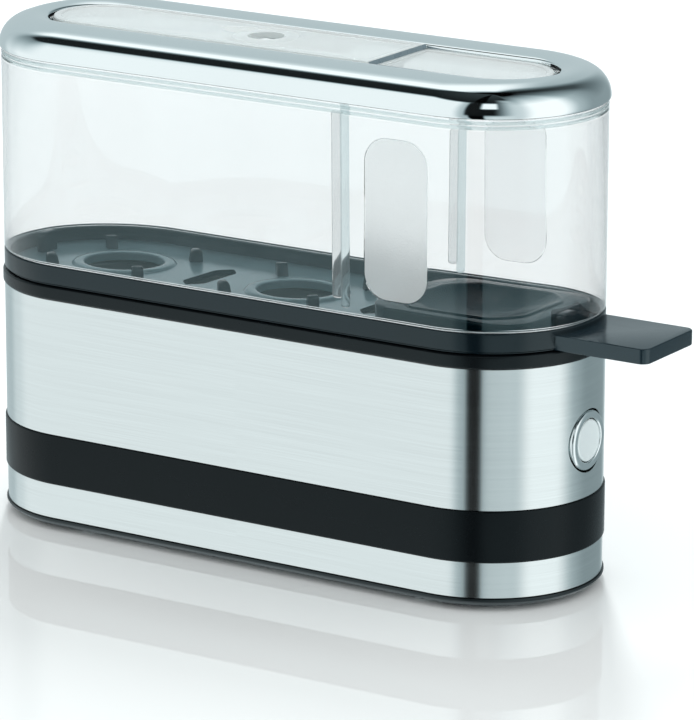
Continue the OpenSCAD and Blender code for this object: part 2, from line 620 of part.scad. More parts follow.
module egg_carrier() color("#3a464c") place() {
    difference() {
        union() {
            swept() polygon([[skirt_in, floor_z], [end_r - 0.6, floor_z], [end_r - 0.6, floor_z + 0.4],
                [end_r - 0.3, floor_z + 0.5], [end_r, floor_z + 0.9], [end_r, cover_seat_z - 0.3],
                [end_r - 0.3, cover_seat_z], [skirt_in + 0.3, cover_seat_z], [skirt_in, cover_seat_z - 0.3]]);
            slab(skirt_in + 0.2, floor_z, floor_top);
            // ring that centres the carrier in the rim
            swept() polygon([[guide_r - 1.4, floor_z + 0.2], [guide_r - 1.4, floor_z - 1.6], [guide_r - 1, floor_z - 2],
                [guide_r - 0.5, floor_z - 2], [guide_r, floor_z - 1.5], [guide_r, floor_z + 0.2]]);
            // raised lip round each egg's hole, and its prongs
            at_eggs() {
                rotate_extrude() polygon([[seat_d / 2 - 0.4, floor_z], [seat_d / 2 + 3.2, floor_z],
                    [seat_d / 2 + 3.2, floor_top - 0.1], [seat_d / 2 + 2.2, floor_top + 0.7],
                    [seat_d / 2 + 1.2, floor_top + 0.7], [seat_d / 2 - 0.4, floor_z + 0.6]]);
                for (a = [45:90:315]) rotate([0, 0, a]) prong();
            }
            // upright tabs at both ends and posts under the cover's ribs
            for (x = [-1, 1])
                translate([x * (straight + skirt_in - 5.2) - 1, 0, floor_top - 0.2]) rotate([90, 0, 90])
                    linear_extrude(2) polygon(concat([[-3.2, 0], [3.2, 0]], arc(2, 4.2, 1.2, 0, 90, 6),
                        arc(-2, 4.2, 1.2, 90, 180, 6)));
            for (y = [-1, 1])
                translate([rib_x - 2.8, y > 0 ? skirt_in - 3.4 : -skirt_in - 0.2, floor_top - 0.2])
                    cube([5.6, 3.6, 2.6]);
        }
        at_eggs() translate([0, 0, floor_z - 3]) cylinder(r = seat_d / 2, h = 8);
        // steam slots between the egg places
        for (x = [-1, 1]) translate([x * egg_pitch / 2, 0, floor_z - 1])
            linear_extrude(floor_t + 3) rotate(90) stadium(3.2, 6.4);
        // steam slots in the corners of the end places
        for (x = [-1, 1], y = [-1, 1]) translate([x * (egg_pitch / 2 + 0.1), y * 19, floor_z - 1])
            linear_extrude(floor_t + 3) stadium(1.3, 5);
    }
    handle();
}

// Loose dish in the third place: a bowl in the top of a low hollow foot.
module loose_dish() color("#2b3337") place() translate([egg_pitch + 1, 0, 0]) {
    bowl_r = bowl_d / 2;
    inner_r = bowl_r - 0.9;
    sphere_r = (pow(inner_r, 2) + pow(bowl_depth, 2)) / (2 * bowl_depth);
    foot_w = bowl_d + 1.2;
    low_z = floor_top + rest_gap;
    difference() {
        union() {
            translate([0, 0, low_z]) linear_extrude(dish_top_z - low_z) rounded_rect(dish_foot_length, foot_w, 9);
            translate([0, 0, dish_top_z - 0.1]) cylinder(r = bowl_r, h = dish_rim_z - dish_top_z + 0.1);
        }
        // bowl
        intersection() {
            translate([0, 0, dish_rim_z - bowl_depth + sphere_r]) sphere(sphere_r, $fn = 128);
            translate([0, 0, dish_rim_z - bowl_depth - 1]) cylinder(r = bowl_r + 2, h = bowl_depth + 2);
        }
        // hollow foot outside the bowl, open below
        difference() {
            translate([0, 0, low_z - 1]) linear_extrude(dish_top_z - dish_t - low_z + 1)
                rounded_rect(dish_foot_length - 2 * dish_t, foot_w - 2 * dish_t, 9 - dish_t);
            translate([0, 0, dish_rim_z - bowl_depth + sphere_r]) sphere(sphere_r + dish_t, $fn = 128);
        }
    }
}

// ---------------------------------------------------------------- cover

module grip_outline() rounded_rect(grip_width, grip_height, 6.4);

// Outside of the clear cover, without the window.
module cover_outside() {
    groove = 0.3;                           // fine lines under the chrome ring
    swept() polygon(concat(
        [[0, cover_z], [end_r - 0.7, cover_z]],
        arc(end_r - 0.7, cover_z + 0.7, 0.7, -90, 0, 5),
        [[end_r, ring_z - 2.4], [end_r - groove, ring_z - 2.1], [end_r, ring_z - 1.8],
         [end_r, ring_z - 1.4], [end_r - groove, ring_z - 1.1], [end_r, ring_z - 0.8],
         [end_r, ring_z - fit_gap], [neck_r, ring_z - fit_gap]],
        arc(ring_hub_r, ring_hub_z, shoulder_r - ring_wall - ring_gap, 0, 90, 10),
        [[0, cover_top]]));
}

module cover_shell() color([0.85, 0.9, 0.9, 0.35]) place() {
    difference() {
        union() {
            difference() {
                cover_outside();
                swept() polygon(concat(
                    [[0, cover_z - 1], [cover_in, cover_z - 1]],
                    arc(cover_in - 4, cover_top - 2 - 4, 4, 0, 90, 8),
                    [[0, cover_top - 2]]));
            }
            intersection() {
                ribs();
                cover_outside();
            }
            // window: two levels that rise through the chrome ring
            difference() {
                slab(panel_r, cover_top - 2, panel_z, panel_straight);
                translate([step_x, -2 * panel_r, panel_z - step_drop]) cube([2 * straight, 4 * panel_r, 10]);
            }
        }
        // hollow under the window, so that the wall stays even
        difference() {
            slab(panel_r - panel_t, cover_top - 3, panel_z - panel_t, panel_straight - panel_t);
            translate([step_x - panel_t, -2 * panel_r, panel_z - panel_t - step_drop])
                cube([2 * straight, 4 * panel_r, 10]);
        }
        // inset field on each level
        difference() {
            slab(panel_r - 2, panel_z - 0.3, panel_z + 1, panel_straight - 2);
            translate([step_x - 2, -2 * panel_r, panel_z - 1]) cube([2 * straight, 4 * panel_r, 10]);
            translate([-steam_x, 0, panel_z - 1]) cylinder(r = steam_d / 2 + 4.4, h = 3);
        }
        difference() {
            slab(panel_r - 2, panel_z - step_drop - 0.3, panel_z + 1, panel_straight - 2);
            translate([-2 * straight + step_x + 2, -2 * panel_r, cover_top - 3])
                cube([2 * straight, 4 * panel_r, 10]);
        }
        // steam hole in a shallow dished ring
        translate([-steam_x, 0, cover_top - 4]) cylinder(r = steam_d / 2, h = 10);
        translate([-steam_x, 0, panel_z]) rotate_extrude() polygon([[steam_d / 2 + 4.2, 0.1],
            [steam_d / 2 + 4.2, 0], [steam_d / 2 + 3.6, -0.35], [steam_d / 2 + 3, -0.35],
            [steam_d / 2 + 0.6, 0], [steam_d / 2 + 0.6, 0.1]]);
        // grip patches let into the front and rear walls
        for (y = [0, 1]) mirror([0, y, 0])
            translate([grip_x, -end_r - 1, cover_z + grip_rise + grip_height / 2]) rotate([-90, 0, 0])
                linear_extrude(1 + grip_depth) grip_outline();
    }
}

// Two grooved ribs inside the long walls, rounded at the foot.
module ribs() for (y = [0, 1]) mirror([0, y, 0]) {
    rib_low = cover_z + 2.9;
    rib_high = cover_top - 1;
    translate([rib_x, -cover_in - 0.3, 0]) difference() {
        union() {
            translate([-rib_width / 2, 0, rib_low]) cube([rib_width, 2.3, rib_high - rib_low]);
            translate([0, 0, rib_low]) rotate([-90, 0, 0]) cylinder(d = rib_width, h = 2.3);
            translate([rib_width / 2 - 1.6, 0, cover_z]) cube([1.6, 2.3, 4]);
        }
        translate([-0.8, 1.1, rib_low + 0.5]) cube([1.6, 2, rib_high - rib_low]);
    }
}

// Chrome ring: quarter round, crown and fall to the window, three arcs that meet without a corner.
module cover_ring() color("#d5dadb") place() {
    crown_from = 70;                        // angle at which the crown leaves the quarter round
    crest_z = shoulder_z + ring_crown;
    crown_r = (crest_z - ring_hub_z - shoulder_r * sin(crown_from)) / (1 - sin(crown_from));
    crest_at = ring_hub_r - (crown_r - shoulder_r) * cos(crown_from);
    fall = crest_z - window_edge_z;
    fall_r = (pow(crest_at - window_r, 2) + fall * fall) / (2 * fall);
    difference() {
        swept() polygon(concat(
            [[0, ring_z], [ring_r, ring_z]],
            arc(ring_hub_r, ring_hub_z, shoulder_r, 0, crown_from, 14),
            arc(crest_at, crest_z - crown_r, crown_r, crown_from, 90, 6),
            arc(crest_at, crest_z - fall_r, fall_r, 90, 90 + asin((crest_at - window_r) / fall_r), 5),
            [[0, window_edge_z]]));
        // hollow over the clear shell
        swept() polygon(concat(
            [[0, ring_z - 1], [ring_in, ring_z - 1], [ring_in, ring_z + 0.3]],
            arc(ring_hub_r, ring_hub_z, shoulder_r - ring_wall, 0, 90, 12),
            [[0, ring_under]]));
        slab(window_r, ring_z, shoulder_z + 5, window_straight);
    }
}

base_plate();
feet();
base_screws();
inner_frame();
steel_sleeve();
trim_band();
base_rim();
dish_seal();
water_dish();
heater_tube();
heater_terminals();
thermostat();
thermostat_clip();
thermal_fuse();
terminal_block();
terminal_screws();
lead_wires();
cord_gland();
button_ring();
switch_nut();
switch_body();
button_plunger();
button_cap();
egg_carrier();
loose_dish();
cover_shell();
cover_ring();
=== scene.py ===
"""Looks of a slim steam cooker for eggs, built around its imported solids.

Lengths in the shape functions are millimetres; a piece becomes metres when its
mesh is made. Every moulding follows one plan: two half circles joined by
straight sides. plan() gives that outline, and the pieces are profiles carried
along it, grids of lines on it, or curves nested inside each other.
"""

import math

import bmesh
import bpy
import numpy as np
from bpy.props import FloatProperty, FloatVectorProperty, PointerProperty
from mathutils import Matrix, Vector


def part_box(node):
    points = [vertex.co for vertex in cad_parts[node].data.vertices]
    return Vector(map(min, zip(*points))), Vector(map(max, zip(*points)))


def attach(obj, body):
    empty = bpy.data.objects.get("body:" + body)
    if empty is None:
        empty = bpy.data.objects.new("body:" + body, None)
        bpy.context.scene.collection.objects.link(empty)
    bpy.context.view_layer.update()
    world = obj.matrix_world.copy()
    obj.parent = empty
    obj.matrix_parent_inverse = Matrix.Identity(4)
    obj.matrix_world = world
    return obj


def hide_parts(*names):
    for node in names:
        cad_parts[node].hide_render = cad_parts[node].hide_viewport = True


bl_info = {
    "name": "Egg cooker",
    "version": (1, 0, 0),
    "blender": (4, 5, 0),
    "location": "View3D > Sidebar > Egg cooker",
    "description": "Builds the visible pieces, finishes and studio of a slim egg cooker",
    "category": "Object",
}

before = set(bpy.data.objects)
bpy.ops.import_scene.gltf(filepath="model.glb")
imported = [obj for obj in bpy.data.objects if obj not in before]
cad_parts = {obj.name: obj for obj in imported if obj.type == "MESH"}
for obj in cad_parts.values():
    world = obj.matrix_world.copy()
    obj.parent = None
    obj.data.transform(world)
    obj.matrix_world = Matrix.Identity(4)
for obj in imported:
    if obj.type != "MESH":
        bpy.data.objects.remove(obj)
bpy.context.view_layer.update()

MM = 0.001


def edges(node):
    """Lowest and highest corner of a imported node, in millimetres."""
    return tuple(np.array(corner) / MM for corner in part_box(node))


SLEEVE = edges("steel_sleeve")
BAND = edges("trim_band")
RIM = edges("base_rim")
CARRIER = edges("egg_carrier")
DISH = edges("loose_dish")
CLEAR = edges("cover_shell")
CHROME = edges("cover_ring")
BEZEL = edges("button_ring")
CAP = edges("button_cap")

# The plan: radius of the half circles and half of the straight sides
END_R = SLEEVE[1][1]
MIDDLE_X = (SLEEVE[0][0] + SLEEVE[1][0]) / 2
STRAIGHT = (SLEEVE[1][0] - SLEEVE[0][0]) / 2 - END_R
HALF_TURN = math.pi * END_R
PLAN_LENGTH = 2 * HALF_TURN + 4 * STRAIGHT
END_MIDDLE = STRAIGHT + HALF_TURN / 2  # distance along the plan to the right end
BUTTON_Z = (BEZEL[0][2] + BEZEL[1][2]) / 2
DISH_SHIFT = 1       # how far the loose dish's middle lies beyond the third egg's axis
EGG_PITCH = DISH[0][0] / 2 + DISH[1][0] / 2 - MIDDLE_X - DISH_SHIFT

# Sizes that the chrome ring and the clear shell share, in millimetres
RING_PROUD = 0.5     # how far the ring stands proud of the clear wall
RING_WALL = 1.4      # thickness of the ring
RING_GAP = 0.15      # between the ring and the shell
RING_RISE = 0.3      # from the ring's lower edge to the start of its shoulder

# Making a mesh
UV_LENGTH = 100      # millimetres along the plan to one unit of the UVs
WELD = 2e-6          # metres: points nearer than this become one
SHORTEST_EDGE = 1e-7  # metres: edges shorter than this are dissolved

# Tints of what the plastics mirror
MOULDED_SHEEN = (0.78, 0.96, 1)
CLEAR_SHEEN = (0.66, 0.95, 1)
BLACK = (0, 0, 0)


# ---------------------------------------------------------------- settings


def length(name, description, default, low, high):
    """A property that holds a length. Its default and limits are given in millimetres."""
    return FloatProperty(name=name, description=description, default=default * MM,
                         min=low * MM, max=high * MM, precision=5, subtype="DISTANCE", unit="LENGTH")


def colour(name, description, default):
    """A property that holds a colour."""
    return FloatVectorProperty(name=name, description=description, default=default,
                               size=3, subtype="COLOR", min=0, max=1)


class BaseSettings(bpy.types.PropertyGroup):
    sheet: length("Sheet", "Thickness of the steel sleeve", 0.8, 0.5, 1.2)
    groove: length("Band groove", "Depth of the groove that the band lies in", 0.7, 0.3, 1)
    edge: length("Edge rounding", "Rounding of the mouldings' edges", 0.5, 0.1, 0.6)
    hole_gap: length("Button gap", "Dark gap round the bright ring", 0.4, 0.1, 0.8)


class CarrierSettings(bpy.types.PropertyGroup):
    wall: length("Wall", "Thickness of the carrier's wall", 1.8, 1.2, 2.4)
    floor: length("Floor", "Thickness of the carrier's floor", 1.5, 1, 2)
    seat: length("Seat", "Diameter of the hole under an egg", 20.4, 16, 24)
    prong_reach: length("Prong reach", "Distance of the prongs from an egg's axis", 18.4, 17, 19)
    prong_height: length("Prong height", "Height of the prongs over the floor", 3.3, 2, 4)
    handle_width: length("Handle width", "Width of the handle", 24, 18, 34)
    handle_thickness: length("Handle thickness", "Thickness of the handle", 3.8, 3, 4.4)
    bowl: length("Bowl", "Diameter of the loose dish's bowl", 39, 34, 39)
    bowl_depth: length("Bowl depth", "Depth of the loose dish's bowl", 4.4, 3, 4.6)


class CoverSettings(bpy.types.PropertyGroup):
    wall: length("Wall", "Thickness of the clear wall", 2, 1.6, 2.6)
    shoulder: length("Shoulder", "Radius of the chrome ring's shoulder", 6.7, 5.5, 7.5)
    window: length("Window", "Width of the window in the chrome ring", 26.4, 22, 28)
    window_end: length("Window end", "Distance from the window to the ring's end", 11.85, 10, 15)
    step: length("Step", "Place of the step between the window's two levels", 28.7, 24, 34)
    drop: length("Drop", "Drop of the window's right part", 1.2, 0.6, 1.4)
    steam_hole: length("Steam hole", "Diameter of the steam hole", 9, 5, 10)
    steam_place: length("Steam hole's place", "Distance of the steam hole to the left", 9.3, 0, 20)
    rib_place: length("Ribs", "Place of the inner ribs", 30.9, 28, 34)
    grip_place: length("Grips", "Place of the grip patches", 46.1, 40, 46.5)
    grip_width: length("Grip width", "Width of a grip patch", 17.8, 12, 18)
    grip_height: length("Grip height", "Height of a grip patch", 39.8, 24, 40)


class FinishSettings(bpy.types.PropertyGroup):
    steel: colour("Steel", "Colour of the brushed steel", (0.72, 0.765, 0.765))
    black: colour("Black mouldings", "Colour of the base's mouldings", (0.0025, 0.0035, 0.0045))
    slate: colour("Slate mouldings", "Colour of the carrier", (0.003, 0.0075, 0.011))
    # Painted light: the carrier's floor is the slate moulding given a much lighter colour, standing in for
    # the light its top shows.
    floor: colour("Carrier's floor", "Colour of the carrier's floor", (0.15, 0.235, 0.26))
    dish: colour("Dish", "Colour of the loose dish", (0.001, 0.008, 0.012))
    clear: colour("Clear plastic", "Tint of the cover", (0.884, 0.89, 0.892))
    chrome: colour("Chrome", "Colour of the chrome", (0.85, 0.895, 0.9))
    cap: colour("Cap", "Colour of the push cap", (0.84, 0.93, 0.94))


class StudioSettings(bpy.types.PropertyGroup):
    floor: colour("Floor", "Colour of the floor", (0.95, 0.99, 0.99))
    backdrop: colour("Backdrop", "Colour behind the object", (1, 1, 1))
    lens: FloatProperty(name="Lens", description="Focal length of the camera", default=0.2418,
                        min=0.02, max=1, unit="CAMERA")


class Millimetres:
    """Reads the lengths of a group of settings in millimetres."""

    def __init__(self, group):
        self.group = group

    def __getattr__(self, name):
        return getattr(self.group, name) / MM


GROUPS = {"egg_base": BaseSettings, "egg_carrier": CarrierSettings, "egg_cover": CoverSettings,
          "egg_finish": FinishSettings, "egg_studio": StudioSettings}


# ---------------------------------------------------------------- plan and profiles


def plan(s, r, longer=0.0):
    """Point of the plan at distance s along it and radius r.

    s starts at the middle of the front and runs towards +X. The direction
    outwards turns by s / END_R on the two half circles, and the point that it
    turns about slides along the straight sides. longer is added to half of the
    sides' length.
    """
    s = np.asarray(s, float)
    turned = (np.clip(s - STRAIGHT, 0, HALF_TURN)
              + np.clip(s - 3 * STRAIGHT - HALF_TURN, 0, HALF_TURN)) / END_R
    angle = turned - np.pi / 2
    slid = (np.clip(s, 0, STRAIGHT) - np.clip(s - STRAIGHT - HALF_TURN, 0, 2 * STRAIGHT)
            + np.clip(s - 3 * STRAIGHT - 2 * HALF_TURN, 0, STRAIGHT))
    return MIDDLE_X + slid * (1 + longer / STRAIGHT) + r * np.cos(angle), r * np.sin(angle)


def stations(turns=72, side=12):
    """Distances along the plan, close on the half circles and wide on the sides."""
    bends = np.linspace(0, HALF_TURN, turns + 1)
    run = np.linspace(0, 2 * STRAIGHT, 2 * side + 1)
    return np.unique(np.round(np.concatenate([
        np.linspace(0, STRAIGHT, side + 1), STRAIGHT + bends, STRAIGHT + HALF_TURN + run,
        3 * STRAIGHT + HALF_TURN + bends, np.linspace(PLAN_LENGTH - STRAIGHT, PLAN_LENGTH, side + 1)]), 6))


def rounded(corners, n=5):
    """Profile through corners (a, b, radius), each corner cut by an arc of that radius.

    The arc's centre lies on the corner's bisector, at radius / sin(half angle).
    """
    made = []
    count = len(corners)
    for i, (a, b, radius) in enumerate(corners):
        here = np.array([a, b], float)
        back = np.array(corners[i - 1][:2], float) - here
        ahead = np.array(corners[(i + 1) % count][:2], float) - here
        if radius <= 0:
            made.append(here[None])
            continue
        back, ahead = back / np.linalg.norm(back), ahead / np.linalg.norm(ahead)
        half = math.acos(np.clip(back @ ahead, -1, 1)) / 2
        bisector = (back + ahead) / np.linalg.norm(back + ahead)
        centre = here + bisector * radius / math.sin(half)
        start = here + back * radius / math.tan(half) - centre
        end = here + ahead * radius / math.tan(half) - centre
        sweep = math.atan2(start[0] * end[1] - start[1] * end[0], start @ end)
        t = np.linspace(0, sweep, n + 1)[:, None]
        across = np.array([-start[1], start[0]])
        made.append(centre + np.cos(t) * start + np.sin(t) * across)
    return np.concatenate(made)


def arc(a, b, radius, start, end, n=12):
    """Points of an arc about (a, b), from one angle to another in degrees."""
    t = np.radians(np.linspace(start, end, n + 1))
    return np.stack([a + radius * np.cos(t), b + radius * np.sin(t)], -1)


def along(points):
    """Distance along a row of points, from its first one."""
    step = np.linalg.norm(np.diff(points, axis=0), axis=-1)
    return np.concatenate([[0], np.cumsum(step)])


# ---------------------------------------------------------------- outlines


def capsule(r, half, n=24):
    """Two half circles of radius r whose centres lie at +half and -half."""
    right = arc(half, 0, r, -90, 90, 2 * n)
    left = arc(-half, 0, r, 90, 270, 2 * n)
    return np.concatenate([right, left])


def rounded_box(width, height, r, n=8):
    """Rectangle whose corners are arcs of radius r, anticlockwise from the right."""
    a, b = width / 2 - r, height / 2 - r
    return np.concatenate([arc(a, -b, r, -90, 0, n), arc(a, b, r, 0, 90, n),
                           arc(-a, b, r, 90, 180, n), arc(-a, -b, r, 180, 270, n)])


def ring_like(outline, centre, r):
    """Circle of radius r about centre, with a point towards each point of an outline."""
    ray = outline - centre
    return centre + r * ray / np.linalg.norm(ray, axis=-1, keepdims=True)


# ---------------------------------------------------------------- meshes


class Skin:
    """Collects the faces of one piece: points in millimetres, faces, UVs and material numbers."""

    def __init__(self):
        self.points, self.faces, self.uvs, self.slots = [], [], [], []
        self.count = 0

    def add(self, points, faces, uvs=None, slot=0):
        """Adds points, and faces whose numbers count from the first of these points."""
        points = np.asarray(points, float).reshape(-1, 3)
        self.points.append(points)
        self.uvs.append(np.zeros((len(points), 2)) if uvs is None else np.asarray(uvs, float).reshape(-1, 2))
        self.faces += (np.asarray(faces) + self.count).tolist()
        self.slots += [slot] * len(faces)
        self.count += len(points)

    def grid(self, points, uvs=None, slot=0, keep=None):
        """Quads between the neighbours of a grid of points. keep masks the quads."""
        nu, nv = points.shape[:2]
        u, v = np.meshgrid(np.arange(nu - 1), np.arange(nv - 1), indexing="ij")
        quads = np.stack([u * nv + v, (u + 1) * nv + v, (u + 1) * nv + v + 1, u * nv + v + 1], -1)
        quads = quads[np.ones(u.shape, bool) if keep is None else keep]
        self.add(points, quads.reshape(-1, 4), uvs, slot)

    def lid(self, loop, slot=0):
        """One flat face inside a closed row of points."""
        self.add(loop, [np.arange(len(loop))], None, slot)

    def sweep(self, profile, s=None, slot=0, closed=True, longer=None):
        """A profile (radius, height) carried along the plan: x and y from plan(s, radius).

        longer(radius) gives what is added to half of the sides' length there.
        """
        s = stations() if s is None else s
        if closed:
            profile = np.concatenate([profile, profile[:1]])
        stretch = longer(profile[None, :, 0]) if longer else 0.0
        x, y = plan(s[:, None], profile[None, :, 0], stretch)
        points = np.stack([x, y, np.broadcast_to(profile[:, 1], x.shape)], -1)
        uvs = np.stack(np.broadcast_arrays(s[:, None], along(profile)[None]), -1)
        self.grid(points, uvs, slot)

    def nested(self, curves, heights, place, slot=0):
        """Closed curves, each at its height, joined to the next one.

        place turns (a, b, height) into a point.
        """
        curves = np.stack([np.concatenate([c, c[:1]]) for c in curves], 1)
        heights = np.broadcast_to(np.asarray(heights, float)[None], curves.shape[:2])
        self.grid(place(curves[..., 0], curves[..., 1], heights), None, slot)

    def plate(self, outline, low, high, bevel, place, slot=0, n=4):
        """A plate with rounded edges: outline(inset) gives its edge drawn in by inset.

        On the rounding, inset = bevel (1 - cos t) and the height moves by bevel sin t.
        """
        t = np.linspace(0, np.pi / 2, n + 1)
        inset = bevel * (1 - np.sin(t))
        rise = bevel * (1 - np.cos(t))
        insets = np.concatenate([inset, inset[::-1]])
        heights = np.concatenate([low + rise, high - rise[::-1]])
        curves = [outline(i) for i in insets]
        self.nested(curves, heights, place, slot)
        for curve, height in ((curves[0][::-1], low), (curves[-1], high)):
            self.lid(place(curve[:, 0], curve[:, 1], np.full(len(curve), height)), slot)

    def pierced(self, s, z, radius, openings, slot=0):
        """Wall of the plan over lines s and z at radius(z), with openings.

        An opening leaves out a block of the grid. The room between its edge and
        the block is filled by rows that run straight from one to the other.
        """
        keep = np.ones((len(s) - 1, len(z) - 1), bool)
        wall = self.on_wall(radius)
        for hole in openings:
            i = np.flatnonzero((s >= hole.s_low - 1e-6) & (s <= hole.s_high + 1e-6))
            j = np.flatnonzero((z >= hole.z_low - 1e-6) & (z <= hole.z_high + 1e-6))
            keep[i[0]:i[-1], j[0]:j[-1]] = False
            block = np.concatenate([
                np.stack([s[i[:-1]], np.full(len(i) - 1, z[j[0]])], -1),
                np.stack([np.full(len(j) - 1, s[i[-1]]), z[j[:-1]]], -1),
                np.stack([s[i[:0:-1]], np.full(len(i) - 1, z[j[-1]])], -1),
                np.stack([np.full(len(j) - 1, s[i[0]]), z[j[:0:-1]]], -1)])
            hole.edge = hole.round_to(block)
            rows = [block + (hole.edge - block) * t for t in np.linspace(0, 1, 7)]
            loops = np.stack([np.concatenate([r, r[:1]]) for r in rows], 1)
            self.grid(wall(loops[..., 0], loops[..., 1]), loops, slot)
        grid_s, grid_z = np.meshgrid(s, z, indexing="ij")
        self.grid(wall(grid_s, grid_z), np.stack([grid_s, grid_z], -1), slot, keep)

    @staticmethod
    def on_wall(radius):
        """Turns (s, z) into a point of the wall at radius(z)."""
        def place(s, z):
            """The plan's point at distance s, at height z."""
            x, y = plan(s, radius(z))
            return np.stack([x, y, z], -1)

        return place


class Opening:
    """A hole in a pierced wall. outline is centred on (s, z), and on_end bends it to an end's curve."""

    def __init__(self, s, z, outline, margin, lines, on_end=False):
        self.s, self.z, self.outline, self.lines, self.on_end = s, z, outline, lines, on_end
        half = np.abs(outline).max(0) + margin
        self.s_low, self.s_high = s - half[0], s + half[0]
        self.z_low, self.z_high = z - half[1], z + half[1]

    def cut(self, s, z):
        """The grid's lines with this opening's block in them, evenly divided."""
        clearance = 0.3     # lines nearer than this to the block are dropped

        def into(lines, low, high, n):
            """The lines outside the block, and n + 1 even ones from low to high."""
            kept = lines[(lines < low - clearance) | (lines > high + clearance)]
            return np.unique(np.concatenate([kept, np.linspace(low, high, n + 1)]))

        return (into(s, self.s_low, self.s_high, self.lines[0]),
                into(z, self.z_low, self.z_high, self.lines[1]))

    def round_to(self, block):
        """Where the rays from the centre to the block's points leave the outline.

        The ray meets the outline's edge p..q at distance (p x q) / (ray x (q - p)).
        """
        loop = np.concatenate([self.outline, self.outline[:1]])
        angle = np.unwrap(np.arctan2(loop[:, 1], loop[:, 0]))
        turn = np.arctan2(block[:, 1] - self.z, block[:, 0] - self.s)
        turn = angle[0] + (turn - angle[0]) % (2 * np.pi)
        i = np.clip(np.searchsorted(angle, turn, side="right") - 1, 0, len(loop) - 2)
        p, q = loop[i], loop[i + 1]
        ray = np.stack([np.cos(turn), np.sin(turn)], -1)
        edge = q - p
        r = (p[:, 0] * q[:, 1] - p[:, 1] * q[:, 0]) / (ray[:, 0] * edge[:, 1] - ray[:, 1] * edge[:, 0])
        a, b = (ray * r[:, None]).T
        if self.on_end:
            a = END_R * np.arcsin(a / END_R)
        return np.stack([self.s + a, self.z + b], -1)


def upright(x=0.0, y=0.0):
    """Places a plan curve (a, b) at (x, y), with its height along Z."""
    return lambda a, b, h: np.stack([x + a, y + b, h], -1)


def facing_end(x, z):
    """Places a curve on the right end: height runs along +X."""
    return lambda a, b, h: np.stack([x + h, a, z + b], -1)


def make_piece(name, skin, finishes, body, nodes, sharp=32):
    """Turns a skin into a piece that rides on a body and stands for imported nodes."""
    points = np.concatenate(skin.points) * MM
    mesh = bpy.data.meshes.new(name)
    mesh.from_pydata(points, [], skin.faces)
    corner = np.empty(len(mesh.loops), np.int32)
    mesh.loops.foreach_get("vertex_index", corner)
    layer = mesh.uv_layers.new(name="along")
    uvs = np.concatenate(skin.uvs)[corner] / UV_LENGTH
    layer.data.foreach_set("uv", uvs.ravel().astype(np.float32))
    mesh.polygons.foreach_set("material_index", np.array(skin.slots, np.int32))
    shape = bmesh.new()
    shape.from_mesh(mesh)
    bmesh.ops.remove_doubles(shape, verts=shape.verts, dist=WELD)
    bmesh.ops.dissolve_degenerate(shape, edges=shape.edges, dist=SHORTEST_EDGE)
    bmesh.ops.recalc_face_normals(shape, faces=shape.faces)
    shape.to_mesh(mesh)
    shape.free()
    mesh.polygons.foreach_set("use_smooth", np.ones(len(mesh.polygons), bool))
    mesh.set_sharp_from_angle(angle=math.radians(sharp))
    for finish in finishes:
        mesh.materials.append(finish)
    piece = bpy.data.objects.new(name, mesh)
    bpy.context.scene.collection.objects.link(piece)
    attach(piece, body)
    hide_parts(*nodes)


# ---------------------------------------------------------------- finishes


class Nodes:
    """Short names for building a node tree."""

    def __init__(self, tree):
        self.tree = tree

    def add(self, kind, **values):
        """A new node with its properties set."""
        node = self.tree.nodes.new(kind)
        for key, value in values.items():
            setattr(node, key, value)
        return node

    def link(self, source, target):
        """Joins an output socket to an input socket."""
        self.tree.links.new(source, target)

    def math(self, operation, a, b=None):
        """The operation on a and b, each a number or a socket."""
        node = self.add("ShaderNodeMath", operation=operation)
        for i, value in enumerate((a, b)):
            if value is None:
                continue
            if isinstance(value, (int, float)):
                node.inputs[i].default_value = value
            else:
                self.link(value, node.inputs[i])
        return node.outputs[0]

    def spread(self, value, low, high, to_low=0.0, to_high=1.0, smooth=False):
        """Maps low..high to to_low..to_high, held at both ends."""
        node = self.add("ShaderNodeMapRange", interpolation_type="SMOOTHSTEP" if smooth else "LINEAR")
        self.link(value, node.inputs[0])
        for i, number in enumerate((low, high, to_low, to_high)):
            node.inputs[i + 1].default_value = number
        return node.outputs[0]

    def graded(self, noise, to_low=0.0, to_high=1.0):
        """Maps a noise texture's usual values, 0.3 to 0.7, to to_low..to_high."""
        return self.spread(noise, 0.3, 0.7, to_low, to_high)

    def noise(self, vector, scale, detail=3.0, rough=0.5):
        """Fractal noise at a vector: scale is its first octave's frequency."""
        node = self.add("ShaderNodeTexNoise")
        self.link(vector, node.inputs["Vector"])
        node.inputs["Scale"].default_value = scale
        node.inputs["Detail"].default_value = detail
        node.inputs["Roughness"].default_value = rough
        return node.outputs[0]

    def mirrored(self):
        """1 for a ray that was mirrored last, 0 for one that passed through something clear."""
        path = self.add("ShaderNodeLightPath").outputs
        opaque = self.math("SUBTRACT", 1.0, path["Is Transmission Ray"])
        return self.math("MULTIPLY", path["Is Glossy Ray"], opaque)

    def stretched(self, vector, scale):
        """A vector times a scale for each axis."""
        node = self.add("ShaderNodeMapping")
        self.link(vector, node.inputs["Vector"])
        node.inputs["Scale"].default_value = scale
        return node.outputs[0]

    def mixed(self, share, one, two):
        """The colour one at share 0 and two at share 1."""
        node = self.add("ShaderNodeMix", data_type="RGBA")
        self.link(share, node.inputs[0])
        for socket, value in ((node.inputs[6], one), (node.inputs[7], two)):
            if isinstance(value, tuple):
                socket.default_value = (*value, 1)
            else:
                self.link(value, socket)
        return node.outputs[2]

    def bump(self, height, strength, distance):
        """The normal tilted by a height's slope."""
        node = self.add("ShaderNodeBump")
        self.link(height, node.inputs["Height"])
        node.inputs["Strength"].default_value = strength
        node.inputs["Distance"].default_value = distance
        return node.outputs[0]


